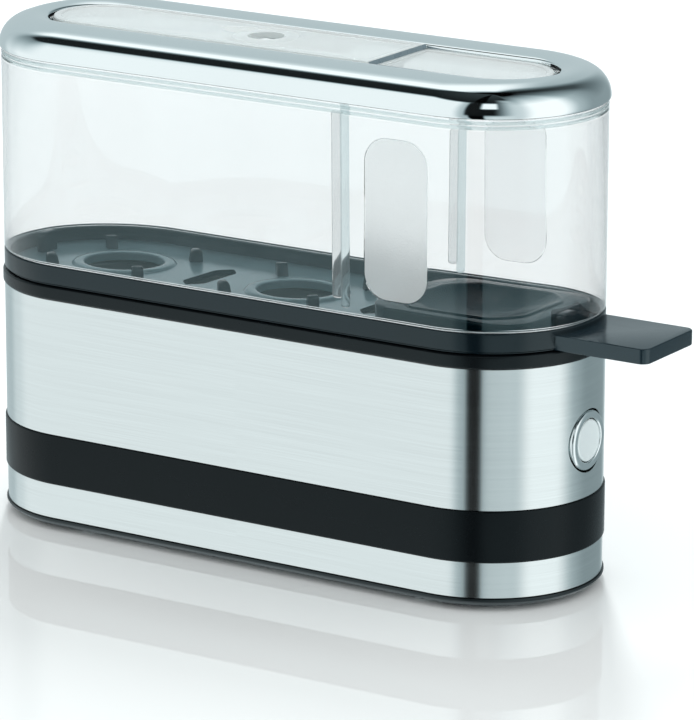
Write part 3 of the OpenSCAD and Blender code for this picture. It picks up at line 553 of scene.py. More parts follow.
def new_finish(name):
    """An empty material with a Principled surface. Returns it, its nodes and that surface."""
    finish = bpy.data.materials.new(name)
    finish.use_nodes = True
    nodes = Nodes(finish.node_tree)
    surface = finish.node_tree.nodes["Principled BSDF"]
    return finish, nodes, surface


def shade(colour, factor):
    """The colour times a factor, at most 1."""
    return tuple(min(1.0, c * factor) for c in colour)


def brushed_steel(name, colour, roughness=0.2):
    """Steel brushed along the plan: streaks in colour, roughness and height that follow the UVs."""
    finish, nodes, surface = new_finish(name)
    uv = nodes.add("ShaderNodeUVMap", uv_map="along").outputs[0]
    hair = nodes.noise(nodes.stretched(uv, (2.6, 620, 1)), 1.0, 3, 0.55)
    broad = nodes.noise(nodes.stretched(uv, (1.1, 70, 1)), 1.0, 3, 0.55)
    cloud = nodes.noise(nodes.add("ShaderNodeTexCoord").outputs["Object"], 24, 2, 0.5)
    mark = nodes.math("ADD", nodes.math("MULTIPLY", hair, 0.7), nodes.math("MULTIPLY", broad, 0.3))
    nodes.link(nodes.mixed(nodes.graded(mark), shade(colour, 0.93), shade(colour, 1.06)),
               surface.inputs["Base Color"])
    worn = nodes.math("ADD", nodes.math("MULTIPLY", hair, 0.6), nodes.math("MULTIPLY", cloud, 0.4))
    nodes.link(nodes.graded(worn, roughness - 0.03, roughness + 0.04), surface.inputs["Roughness"])
    surface.inputs["Metallic"].default_value = 1
    surface.inputs["Anisotropic"].default_value = 0.85
    surface.inputs["Anisotropic Rotation"].default_value = 0.25
    tangent = nodes.add("ShaderNodeTangent", direction_type="UV_MAP", uv_map="along")
    nodes.link(tangent.outputs[0], surface.inputs["Tangent"])
    nodes.link(nodes.bump(hair, 0.06, 0.00002), surface.inputs["Normal"])
    return finish


def moulded(name, colour, roughness, grain=900.0, bump=0.12, gloss=0.5):
    """Moulded plastic: fine grain in its height, soft changes in colour and roughness, faint rub marks."""
    finish, nodes, surface = new_finish(name)
    place = nodes.add("ShaderNodeTexCoord").outputs["Object"]
    fine = nodes.noise(place, grain, 2, 0.5)
    cloud = nodes.noise(place, 34, 4, 0.6)
    rub = nodes.noise(nodes.stretched(place, (40, 260, 90)), 1.0, 5, 0.65)
    nodes.link(nodes.mixed(nodes.graded(cloud), shade(colour, 0.86), shade(colour, 1.16)),
               surface.inputs["Base Color"])
    wear = nodes.math("ADD", nodes.math("MULTIPLY", cloud, 0.5), nodes.math("MULTIPLY", rub, 0.5))
    nodes.link(nodes.spread(wear, 0.35, 0.68, roughness * 0.82, roughness * 1.22),
               surface.inputs["Roughness"])
    surface.inputs["Specular IOR Level"].default_value = gloss
    surface.inputs["Specular Tint"].default_value = (*MOULDED_SHEEN, 1)
    nodes.link(nodes.bump(fine, bump, 0.00008), surface.inputs["Normal"])
    return finish


def polished(name, colour, roughness=0.035, metal=1.0):
    """Chrome with faint wipe marks: its roughness changes a little and its height hardly at all."""
    finish, nodes, surface = new_finish(name)
    place = nodes.add("ShaderNodeTexCoord").outputs["Object"]
    wipe = nodes.noise(nodes.stretched(place, (18, 30, 60)), 1.0, 4, 0.6)
    cloud = nodes.noise(place, 14, 2, 0.5)
    nodes.link(nodes.mixed(nodes.graded(cloud), shade(colour, 0.97), shade(colour, 1.03)),
               surface.inputs["Base Color"])
    surface.inputs["Metallic"].default_value = metal
    nodes.link(nodes.spread(wipe, 0.4, 0.75, roughness, roughness + 0.045), surface.inputs["Roughness"])
    nodes.link(nodes.bump(cloud, 0.03, 0.0002), surface.inputs["Normal"])
    return finish


def let_light_through(finish, nodes, surface, tint):
    """Lets lamps pass the clear plastic, so that what stands behind it isn't in its dark."""
    path = nodes.add("ShaderNodeLightPath")
    passing = nodes.add("ShaderNodeBsdfTransparent")
    passing.inputs[0].default_value = (*tint, 1)
    mix = nodes.add("ShaderNodeMixShader")
    nodes.link(path.outputs["Is Shadow Ray"], mix.inputs[0])
    nodes.link(surface.outputs[0], mix.inputs[1])
    nodes.link(passing.outputs[0], mix.inputs[2])
    nodes.link(mix.outputs[0], finish.node_tree.nodes["Material Output"].inputs["Surface"])


def clear_plastic(name, colour, frost=0.0, haze=0.0, ior=1.49):
    """Clear moulded plastic. frost roughens it by a fine speckle; haze is the share that scatters white.

    Only its outer faces mirror, since a second image a wall's thickness behind the first would wash out what
    stands inside.
    """
    finish, nodes, surface = new_finish(name)
    place = nodes.add("ShaderNodeTexCoord").outputs["Object"]
    flow = nodes.noise(nodes.stretched(place, (30, 30, 8)), 1.0, 3, 0.5)
    speckle = nodes.noise(place, 2600, 2, 0.6)
    nodes.link(nodes.mixed(nodes.graded(flow), shade(colour, 0.985), shade(colour, 1.01)),
               surface.inputs["Base Color"])
    surface.inputs["IOR"].default_value = ior
    inside = nodes.add("ShaderNodeNewGeometry").outputs["Backfacing"]
    nodes.link(nodes.mixed(inside, CLEAR_SHEEN, BLACK), surface.inputs["Specular Tint"])
    if frost:
        nodes.link(nodes.graded(speckle, frost * 0.8, frost * 1.2), surface.inputs["Roughness"])
        nodes.link(nodes.bump(speckle, 0.5, 0.0001), surface.inputs["Normal"])
    else:
        nodes.link(nodes.graded(flow, 0.0, 0.02), surface.inputs["Roughness"])
        nodes.link(nodes.bump(flow, 0.05, 0.0004), surface.inputs["Normal"])
    if haze:
        nodes.link(nodes.graded(flow, 1 - haze * 1.08, 1 - haze * 0.92),
                   surface.inputs["Transmission Weight"])
    else:
        surface.inputs["Transmission Weight"].default_value = 1
    let_light_through(finish, nodes, surface, shade(colour, 0.97))
    return finish


def coat_node(node, finish):
    """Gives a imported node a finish."""
    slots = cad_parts[node].data.materials
    for i in range(len(slots)):
        slots[i] = finish


# ---------------------------------------------------------------- operators


class Settings:
    """The scene's settings, as the operators read them"""

    @property
    def base(self):
        """Sizes of the base, in millimetres."""
        return Millimetres(bpy.context.scene.egg_base)

    @property
    def carrier(self):
        """Sizes of the carrier and the loose dish, in millimetres."""
        return Millimetres(bpy.context.scene.egg_carrier)

    @property
    def cover(self):
        """Sizes of the cover, in millimetres."""
        return Millimetres(bpy.context.scene.egg_cover)

    @property
    def finish(self):
        """Colours of the pieces."""
        return bpy.context.scene.egg_finish


class MakeSleeve(Settings, bpy.types.Operator):
    """Brushed steel sleeve: a pierced wall with a groove for the band and a hole for the button"""

    bl_idname = "egg_cooker.sleeve"
    bl_label = "Steel sleeve"

    def execute(self, context):
        sheet, groove = self.base.sheet, self.base.groove
        low, high = SLEEVE[0][2], SLEEVE[1][2]
        band_gap, flank = 0.1, 0.05               # gap beside the band, height of the groove's flank
        break_height, break_depth = 0.15, 0.12    # the sleeve's broken outer edges
        band_low, band_high = BAND[0][2] - band_gap, BAND[1][2] + band_gap
        hole_r = (BEZEL[1][1] - BEZEL[0][1]) / 2 + self.base.hole_gap
        heights = np.array([low, low + break_height, band_low - flank, band_low, band_high,
                            band_high + flank, high - break_height, high])
        radii = END_R - np.array([break_depth, 0, 0, groove, groove, 0, 0, break_depth])
        hole = Opening(END_MIDDLE, BUTTON_Z, ring_like(capsule(1, 0), np.zeros(2), hole_r),
                       margin=2.4, lines=(20, 20), on_end=True)
        rows = np.concatenate([heights, np.linspace(band_high + 1, high - 1, 12)])
        s, z = hole.cut(stations(), np.unique(rows))
        skin = Skin()

        def outside(h):
            """The outer radius at a height: straight between the profile's corners."""
            return np.interp(h, heights, radii)

        def inside(h):
            """The inner radius at a height: the sheet's thickness less than the outer one."""
            return outside(h) - sheet

        for radius in (outside, inside):
            skin.pierced(s, z, radius, [hole])
        for edge in (low, high):
            rim = np.stack([skin.on_wall(outside)(s, np.full(len(s), edge)),
                            skin.on_wall(inside)(s, np.full(len(s), edge))], 1)
            skin.grid(rim)
        loop = np.concatenate([hole.edge, hole.edge[:1]])
        skin.grid(np.stack([skin.on_wall(outside)(*loop.T), skin.on_wall(inside)(*loop.T)], 1))
        make_piece("sleeve_brushed", skin, [brushed_steel("brushed_steel_sleeve", self.finish.steel)],
                   "base", ["steel_sleeve"])
        return {"FINISHED"}


class MakeBaseMouldings(Settings, bpy.types.Operator):
    """Trim band and base rim: rounded profiles swept along the plan"""

    bl_idname = "egg_cooker.base_mouldings"
    bl_label = "Band and rim"

    def execute(self, context):
        black = moulded("black_satin", self.finish.black, 0.26, bump=0.05, gloss=0.2)
        low, high, face = BAND[0][2], BAND[1][2], BAND[1][1]
        back = END_R - self.base.groove + 0.05
        band_edge = 0.35
        band = Skin()
        band.sweep(rounded([(back, low, 0), (face, low, band_edge),
                            (face, high, band_edge), (back, high, 0)]))
        make_piece("trim_band_satin", band, [black], "base", ["trim_band"])

        top, face, edge = RIM[1][2], RIM[1][1], self.base.edge
        seat = SLEEVE[1][2] + 0.1
        opening, lip = 22.6, 2.1                  # radius of the opening, thickness of the rim's flat top
        spigot = END_R - self.base.sheet - 0.1    # the spigot reaches down inside the sleeve
        spigot_in, spigot_low = spigot - 1.8, seat - 6
        rim = Skin()
        rim.sweep(rounded([(opening, top - lip, 0.3), (spigot_in, top - lip, 0), (spigot_in, spigot_low, 0.3),
                           (spigot, spigot_low, 0.3), (spigot, seat, 0), (face, seat, edge * 0.8),
                           (face, top, edge * 1.2), (opening, top, edge)]))
        finish = moulded("black_rim", self.finish.black, 0.26, bump=0.05, gloss=0.3)
        make_piece("base_rim_satin", rim, [finish], "base", ["base_rim"])
        return {"FINISHED"}


class MakeButton(Settings, bpy.types.Operator):
    """Push button: a bright turned ring and a slightly hollow cap"""

    bl_idname = "egg_cooker.button"
    bl_label = "Button"

    def turned(self, skin, profile, x):
        """A profile (radius, depth behind x) turned about the button's axis."""
        circle = arc(0, 0, 1, 0, 360, 96)[:-1]
        skin.nested([circle * r for r, _ in profile], [-d for _, d in profile], facing_end(x, BUTTON_Z))

    def execute(self, context):
        ring_r = (BEZEL[1][1] - BEZEL[0][1]) / 2
        cap_r = (CAP[1][1] - CAP[0][1]) / 2
        bore, neck = cap_r + 0.25, BEZEL[1][0] - BEZEL[0][0]
        rim_depth, neck_r = 2.6, ring_r - 0.5
        ring = Skin()
        outline = rounded([(bore, neck, 0), (bore, 0, 0.5), (ring_r, 0, 0.85),
                           (ring_r, rim_depth, 0.1), (neck_r, rim_depth, 0), (neck_r, neck, 0)], 8)
        self.turned(ring, np.concatenate([outline, outline[:1]]), BEZEL[1][0])
        finish = polished("bezel_satin", shade(self.finish.chrome, 0.98), 0.12)
        make_piece("button_ring_bright", ring, [finish], "base", ["button_ring"])
        cap = Skin()
        depth = CAP[1][0] - CAP[0][0]
        border, dip, step = 0.9, 0.35, 0.12       # width of the border, depth of the hollow and of its step
        hollow = np.linspace(0.002, 1, 14)
        face = np.stack([(cap_r - border) * hollow, dip * (1 - hollow ** 2) + step], -1)
        edge = rounded([(cap_r - border, step, 0), (cap_r - border / 2, -0.02, 0.3), (cap_r, 0.02, 0.42),
                        (cap_r, depth, 0.1), (0.01, depth, 0)], 6)
        self.turned(cap, np.concatenate([face, edge[1:]]), CAP[1][0])
        make_piece("button_cap_satin", cap, [polished("cap_satin", self.finish.cap, 0.3, metal=0.18)],
                   "button", ["button_cap"])
        return {"FINISHED"}


class MakeCarrier(Settings, bpy.types.Operator):
    """Egg carrier: skirt, pierced floor, prongs and the flat handle"""

    bl_idname = "egg_cooker.carrier"
    bl_label = "Egg carrier"

    def floor_cell(self, skin, egg, low, high):
        """Floor round one egg's hole, as curves nested from the hole to the cell's border.

        The border is the nearest of the cell's straight sides, the skirt's curve
        and the two steam slots, met by rays from the egg's axis.
        """
        reach = END_R - self.carrier.wall + 0.4
        half = EGG_PITCH / 2
        seat = self.carrier.seat / 2
        slot_r, slot_half = 3.2, 6.4
        corner = math.atan2(reach, half)
        dent = math.atan2(slot_half + slot_r, half)
        turns = np.unique(np.concatenate([np.linspace(0, 2 * np.pi, 144, endpoint=False),
                                          *[np.array([k * np.pi + s * a for k in (0, 1, 2) for s in (-1, 1)])
                                            for a in (corner, dent)]]) % (2 * np.pi))
        turns = np.unique(np.round(turns, 9))
        ray = np.stack([np.cos(turns), np.sin(turns)], -1)
        border = np.full(len(turns), 1e9)
        wall = reach / np.maximum(np.abs(ray[:, 1]), 1e-9)
        for side in (-1, 1):
            out = ray[:, 0] * side > 1e-9
            if egg * side == 1:      # this side is the rounded end of the skirt
                centre = np.array([side * (STRAIGHT - EGG_PITCH), 0])
                along_ray = ray @ centre
                far = along_ray + np.sqrt(along_ray ** 2 + reach ** 2 - centre @ centre)
                beyond = far * ray[:, 0] * side > centre[0] * side
                border = np.where(out & beyond, np.minimum(border, far), border)
                continue
            flat = half / np.maximum(ray[:, 0] * side, 1e-9)
            border = np.where(out, np.minimum(border, flat), border)
            near = (half - slot_r) / np.maximum(ray[:, 0] * side, 1e-9)
            hits = out & (np.abs(near * ray[:, 1]) < slot_half)
            border = np.where(hits, near, border)
            for up in (-1, 1):
                centre = np.array([side * half, up * slot_half])
                along_ray = ray @ centre
                under = along_ray ** 2 - centre @ centre + slot_r ** 2
                close = along_ray - np.sqrt(np.maximum(under, 0))
                hits = out & (under > 0) & (np.abs(close * ray[:, 1]) >= slot_half - 1e-9) & (close < border)
                border = np.where(hits, close, border)
        border = np.minimum(border, wall)
        edge = ray * border[:, None]
        rows = [(seat, low), (seat, high + 0.3), (seat + 0.25, high + 0.6), (seat + 0.7, high + 0.7),
                (seat + 2.2, high + 0.7), (seat + 2.6, high + 0.55), (seat + 3.2, high), (seat + 4, high)]
        curves = [ray * r for r, _ in rows] + [edge]
        heights = [h for _, h in rows] + [high]
        place = upright(MIDDLE_X + egg * EGG_PITCH, 0)
        # The floor's top takes slot 1, the lighter painted-light copy of the slate; its walls and underside
        # keep slot 0.
        skin.nested(curves, heights, place, slot=1)
        skin.nested([edge, ray * seat], [low, low], place)
        # wall round the border, left out where two cells meet
        loop = np.concatenate([edge, edge[:1]])
        middle = (loop[1:] + loop[:-1]) / 2
        meets = np.zeros(len(middle), bool)
        for side in (-1, 1):
            if egg * side != 1:
                meets |= np.abs(middle[:, 0] - side * half) < 1e-6
        x, y = loop.T
        ring = np.stack([place(x, y, np.full(len(x), high)), place(x, y, np.full(len(x), low))], 1)
        skin.grid(ring, None, 0, ~meets[:, None])

    def prongs(self, skin, floor):
        """Four fins at each place: a rounded outline in the radius, given its thickness across it."""
        reach, tall = self.carrier.prong_reach, self.carrier.prong_height
        root, half_thick, tip_r = 0.3, 1.4, 1.1   # depth in the floor, half the thickness, radius of the tip

        def fin(inset):
            """A fin's outline, drawn in by inset: wider at its root, with two rounded corners at its tip."""
            return rounded([(-1.6 + inset, -root, 0), (1.8 - inset, -root, 0),
                            (1.65 - inset, tall - inset, tip_r - inset),
                            (-0.9 + inset, tall - inset, tip_r - inset)], 5)

        for egg in (-1, 0, 1):
            for turn in np.radians([45, 135, 225, 315]):
                def place(a, b, h, egg=egg, turn=turn):
                    """Outwards by a, up by b and across by h, turned about the egg's axis."""
                    x = (reach + a) * np.cos(turn) - h * np.sin(turn)
                    y = (reach + a) * np.sin(turn) + h * np.cos(turn)
                    return np.stack([MIDDLE_X + egg * EGG_PITCH + x, y, floor + b], -1)
                skin.plate(fin, -half_thick, half_thick, 0.3, place)

    def execute(self, context):
        c = self.carrier
        low, high = SLEEVE[1][2] + 3.55, SLEEVE[1][2] + 8.7    # the carrier's underside, its wall's top
        floor = low + c.floor
        inner = END_R - c.wall
        slate = moulded("slate_satin", self.finish.slate, 0.16, bump=0.03)
        # Painted light: a much lighter copy of the slate for the floor's top, standing in for the light it
        # shows.
        inside = moulded("slate_floor_painted_light", self.finish.floor, 0.14, bump=0.008, gloss=1)
        skirt = Skin()
        skirt.sweep(rounded([(inner, low, 0.2), (END_R - 0.5, low, 0.2), (END_R - 0.5, low + 0.4, 0.1),
                             (END_R, low + 0.55, 0.4), (END_R, high, 0.35), (inner, high, 0.35)]))
        guide = 22.3
        skirt.sweep(rounded([(guide - 1.4, low + 0.2, 0), (guide - 1.4, low - 2, 0.4), (guide, low - 2, 0.5),
                             (guide, low + 0.2, 0)]))
        for egg in (-1, 0, 1):
            self.floor_cell(skirt, egg, low, floor)
        self.prongs(skirt, floor)

        def tab(inset):
            """Outline of the tab at each end of the floor: a rectangle with its upper corners rounded."""
            half, tall, r = 3.2 - inset, 5.2 - inset, 1.2 - inset
            return rounded([(-half, -0.2, 0), (half, -0.2, 0), (half, tall, r), (-half, tall, r)], 6)

        def post(inset):
            """Outline of the low post beside each pair of ribs."""
            return rounded_box(5.6 - 2 * inset, 3.6 - 2 * inset, 0.6 - inset * 0.5)

        for side in (-1, 1):
            x = MIDDLE_X + side * (STRAIGHT + inner - 5.2)
            skirt.plate(tab, -1, 1, 0.25, lambda a, b, h, x=x: np.stack([x + h, a, floor + b], -1))
            skirt.plate(post, floor - 0.2, floor + 2.4, 0.3,
                        upright(MIDDLE_X + self.cover.rib_place, side * (inner - 1.6)))
        make_piece("carrier_moulding", skirt, [slate, inside], "carrier", ["egg_carrier"])

        tip, half, corner = CARRIER[1][0] - MIDDLE_X, c.handle_width / 2, 2.4

        def blade(inset):
            """Handle from inside the skirt's wall to its two rounded free corners."""
            w, end, r = half - inset, tip - inset, corner - inset
            root_r = inner + 0.7 + inset
            y = np.linspace(w, -w, 25)
            root = np.stack([STRAIGHT + np.sqrt(root_r ** 2 - y ** 2), y], -1)
            return np.concatenate([root, arc(end - r, -w + r, r, -90, 0, 10),
                                   arc(end - r, w - r, r, 0, 90, 10)])

        handle = Skin()
        handle.plate(blade, low, low + c.handle_thickness, 0.35, upright(MIDDLE_X))
        # Painted light: the handle, moulded in one with the carrier, takes a slate 2.2 times lighter, for the
        # light its top shows.
        finish = moulded("slate_handle_painted_light", shade(self.finish.slate, 2.2), 0.2, bump=0.03, gloss=0.7)
        make_piece("carrier_handle", handle, [finish], "carrier", ["egg_carrier"])
        return {"FINISHED"}


class MakeDish(Settings, bpy.types.Operator):
    """Loose dish: a bowl sunk in the top of a low foot with rounded corners"""

    bl_idname = "egg_cooker.dish"
    bl_label = "Loose dish"

    def execute(self, context):
        length_x, width_y = DISH[1][0] - DISH[0][0], DISH[1][1] - DISH[0][1]
        low, rim = DISH[0][2], DISH[1][2]
        top = rim - 0.4
        bowl, depth = self.carrier.bowl / 2, self.carrier.bowl_depth
        corner, bevel, wall = 9, 0.5, 1.3

        def foot(inset):
            """The foot's outline, drawn in by inset."""
            return rounded_box(length_x - 2 * inset, width_y - 2 * inset, corner - inset, 18)

        inner = bowl - 0.9
        ball = (inner ** 2 + depth ** 2) / (2 * depth)
        share = np.linspace(0.004, 1, 26)
        outline = foot(0)
        zero = np.zeros(2)
        dip = [(inner * t, rim - depth + ball - math.sqrt(ball ** 2 - (inner * t) ** 2)) for t in share]
        lip = [(inner + 0.2, rim), (bowl - 0.25, rim), (bowl - 0.08, rim - 0.08), (bowl, rim - 0.25),
               (bowl, top)]
        curves = [ring_like(outline, zero, r) for r, _ in dip + lip]
        heights = [h for _, h in dip + lip]
        t = np.linspace(0, np.pi / 2, 6)
        for inset, h in zip(bevel * (1 - np.sin(t)), top - bevel * (1 - np.cos(t))):
            curves.append(foot(inset))
            heights.append(h)
        curves += [foot(0), foot(wall), foot(wall)]
        heights += [low, low, top - wall]
        skin = Skin()
        place = upright((DISH[0][0] + DISH[1][0]) / 2, 0)
        skin.nested(curves, heights, place)
        under = [ring_like(outline, zero, bowl - 1.5), ring_like(outline, zero, bowl * 0.55)]
        skin.nested([foot(wall), *under], [top - wall, top - wall, low], place)
        cap = under[-1][::-1]
        skin.lid(place(cap[:, 0], cap[:, 1], np.full(len(cap), low)))
        finish = moulded("dish_gloss", self.finish.dish, 0.11, bump=0.003, gloss=0.15)
        make_piece("loose_dish_gloss", skin, [finish], "dish", ["loose_dish"])
        return {"FINISHED"}


class MakeCover(Settings, bpy.types.Operator):
    """Clear cover: wall with frosted grips, ribs, and a window on two levels"""

    bl_idname = "egg_cooker.cover"
    bl_label = "Clear cover"

    def wall(self, clear, front, back, shaded_lines):
        """The wall with two grips let in; its collar lines, shoulder and inner side are swept."""
        c = self.cover
        low, ring_low = CLEAR[0][2], CHROME[0][2]
        top = ring_low + RING_RISE + c.shoulder - RING_WALL - RING_GAP
        inner = END_R - c.wall
        neck = END_R + RING_PROUD - RING_WALL - RING_GAP
        wall_low, wall_high = low + 0.8, ring_low - 3.2
        grip_rise, grip_corner = 5, 6.4
        grip_z = low + grip_rise + c.grip_height / 2
        outline = rounded_box(c.grip_width, c.grip_height, grip_corner, 16)
        back_s = STRAIGHT + HALF_TURN + STRAIGHT - c.grip_place
        s, z = stations(), np.linspace(wall_low, wall_high, 14)
        holes = [Opening(place, grip_z, outline, margin=0.7, lines=(22, 44))
                 for place in (c.grip_place, back_s)]
        for hole in holes:
            s, z = hole.cut(s, z)
        skin = Skin()
        skin.pierced(s, z, lambda h: np.full(np.shape(h), END_R), holes)
        for slot, hole in enumerate(holes, 1):
            loop = np.concatenate([hole.edge, hole.edge[:1]])
            centre = np.array([hole.s, hole.z])
            rows = []
            for drawn_in, depth in ((0, 0), (0.13, 0.11), (0.25, 0.13)):
                ray = loop - centre
                near = centre + ray * (1 - drawn_in / np.linalg.norm(ray, axis=-1, keepdims=True))
                x, y = plan(near[:, 0], END_R - depth)
                rows.append(np.stack([x, y, near[:, 1]], -1))
            skin.grid(np.stack(rows, 1))
            skin.lid(rows[-1][:-1], slot)
        fillet = 4
        groove = 0.08
        shoulder = arc(END_R + RING_PROUD - c.shoulder, ring_low + RING_RISE,
                       c.shoulder - RING_WALL - RING_GAP, 0, 90, 12)
        lines = np.array([[END_R, wall_high], [END_R, ring_low - 2.7], [END_R - groove, ring_low - 2.4],
                          [END_R - groove, ring_low - 2.1], [END_R, ring_low - 1.8], [END_R, ring_low - 1.5],
                          [END_R - groove, ring_low - 1.2], [END_R - groove, ring_low - 0.9],
                          [END_R, ring_low - 0.6], [END_R, ring_low - 0.15], [neck, ring_low - 0.15]])
        # Slot 3, a darker grey tint, is painted shade: on the two grooves and on the ledge tucked under the
        # chrome ring.
        for i, slot in enumerate((0, 3, 3, 3, 0, 3, 3, 3, 0, 3)):
            skin.sweep(lines[i:i + 2], s, slot, closed=False)
        profile = np.concatenate([
            lines[-1:],
            shoulder,
            [[c.window / 2 - 1.2, top], [c.window / 2 - 1.8, top - 0.5], [c.window / 2 - 1.8, top - 1.5],
             [c.window / 2 - 1.3, top - 2]],
            arc(inner - fillet, top - 2 - fillet, fillet, 90, 0, 10),
            rounded([(inner, low, 0.35), (END_R, low, 0.75), (END_R, wall_low, 0)], 5)])
        skin.sweep(profile, s, closed=False)
        make_piece("cover_wall_clear", skin, [clear, front, back, shaded_lines], "cover", ["cover_shell"],
                   sharp=24)

    def ribs(self, rod, strip):
        """A rod and a strip inside each long wall: an outline across, carried up the wall."""
        c = self.cover
        low, high = CLEAR[0][2] + 0.9, CHROME[0][2] + 1
        face = END_R - c.wall - 0.06
        skin = Skin()
        for side, shift in ((-1, -1.9), (1, 0)):
            for edge, width, lift, stop, slot in ((-1.1, 2.4, 2.2, 3.6, 0), (1.15, 1.9, 0, 0, 1)):
                def outline(inset, width=width):
                    """The rod's or strip's section, a rounded rectangle."""
                    return rounded_box(width - 2 * inset, 2.2 - 2 * inset, 0.8 - inset * 0.6, 6)
                skin.plate(outline, low + lift, high - stop, 0.7,
                           upright(MIDDLE_X + c.rib_place + edge + shift, side * (face - 1.1)), slot)
        make_piece("cover_ribs_clear", skin, [rod, strip], "cover", ["cover_shell"])

    def window(self, clear, step):
        """Two plates of the window: curves nested from the middle out to the plate's edge."""
        c = self.cover
        ring_r = END_R + RING_PROUD
        top = CHROME[0][2] + RING_RISE + c.shoulder + 0.1
        r = c.window / 2 - 0.3
        half = STRAIGHT + ring_r - c.window_end - c.window / 2 - 1.2

        def part(inset, left):
            """One level's outline: a half circle at its end, straight sides, and a cut at the step."""
            q, cut = r - inset, c.step - (inset if left else -inset)
            if left:
                end = arc(-half, 0, q, 90, 270, 48)
                sides = [(-half, -q), (cut, -q), (cut, q), (-half, q)]
            else:
                end = arc(half, 0, q, -90, 90, 48)
                sides = [(half, q), (cut, q), (cut, -q), (half, -q)]
            rows = [end]
            for start, stop, n in ((0, 1, 30), (1, 2, 14), (2, 3, 30)):
                t = np.linspace(0, 1, n + 1)[1:-1 if stop == 3 else None, None]
                rows.append(np.array(sides[start]) * (1 - t) + np.array(sides[stop]) * t)
            return np.concatenate(rows)

        for left in (True, False):
            face = top if left else top - c.drop
            edge = part(0, left)
            zero = np.array([-c.steam_place, 0]) if left else np.array([(c.step + half + r) / 2, 0])
            hole = c.steam_hole / 2
            thick = 1.8
            skin = Skin()
            curves, heights = [], []
            if left:
                rows = [(0, -thick + 0.2), (0, -0.3), (0.08, -0.12), (0.3, -0.05), (0.7, -0.06), (3.2, -0.3),
                        (3.6, -0.3), (3.9, -0.2), (4.2, -0.3)]
                curves += [ring_like(edge, zero, hole + a) for a, _ in rows]
                heights += [face + h for _, h in rows]
            for inset, h in ((2.3, -0.3), (2.1, -0.27), (1.85, -0.05), (1.7, 0), (0.5, 0), (0.18, -0.1),
                             (0, -0.4), (0, -thick), (0.3, -thick)):
                curves.append(part(inset, left))
                heights.append(face + h)
            place = upright(MIDDLE_X)
            if left:     # back to the steam hole along the underside
                curves += [ring_like(edge, zero, hole + 0.3), ring_like(edge, zero, hole)]
                heights += [face - thick, face - thick + 0.2]
            skin.nested(curves, heights, place)
            if left:     # the strip that joins the two levels
                y = np.linspace(-r, r, 9)[:, None] * np.ones((1, 4))
                drop = np.array([0.25, 0.1, c.drop - 0.1, c.drop])[None]
                out = np.array([0.04, 0.1, 0.34, 0.38])[None]
                x = MIDDLE_X + c.step + out + y * 0
                # Slot 1 is painted shade: an opaque grey-blue on the step, in place of the clear plastic
                # round it.
                skin.grid(np.stack([x, y, face - drop + y * 0], -1), None, 1)
            else:
                for curve, h in ((curves[0], heights[0]), (curves[-1][::-1], heights[-1])):
                    skin.lid(place(curve[:, 0], curve[:, 1], np.full(len(curve), h)))
            make_piece("window_left_clear" if left else "window_right_clear", skin, [clear, step], "cover",
                       ["cover_shell"], sharp=24)

    def execute(self, context):
        tint = self.finish.clear
        clear = clear_plastic("clear_plastic", tint, ior=1.65)
        hazy = clear_plastic("window_plastic", (0.82, 0.868, 0.868), haze=0.6)
        # The collar lines' darker tint is painted shade under the chrome ring; the plastic there is the same
        # clear moulding.
        self.wall(clear, clear_plastic("frosted_front", (0.84, 0.875, 0.878), frost=0.4, haze=0.48),
                  clear_plastic("frosted_back", shade(tint, 0.98), frost=0.35, haze=0.08),
                  clear_plastic("collar_lines_painted_shade", (0.54, 0.64, 0.65), haze=0.25))
        self.ribs(clear_plastic("rib_rod", tint, haze=0.12, ior=1.1),
                  clear_plastic("rib_strip", (0.8, 0.87, 0.88), haze=0.1, ior=1.06))
        # Painted shade: the step between the window's levels is an opaque grey-blue, not the clear plastic of
        # the plates.
        self.window(hazy, moulded("step_face_painted_shade", (0.22, 0.29, 0.33), 0.3, bump=0.03))
        return {"FINISHED"}


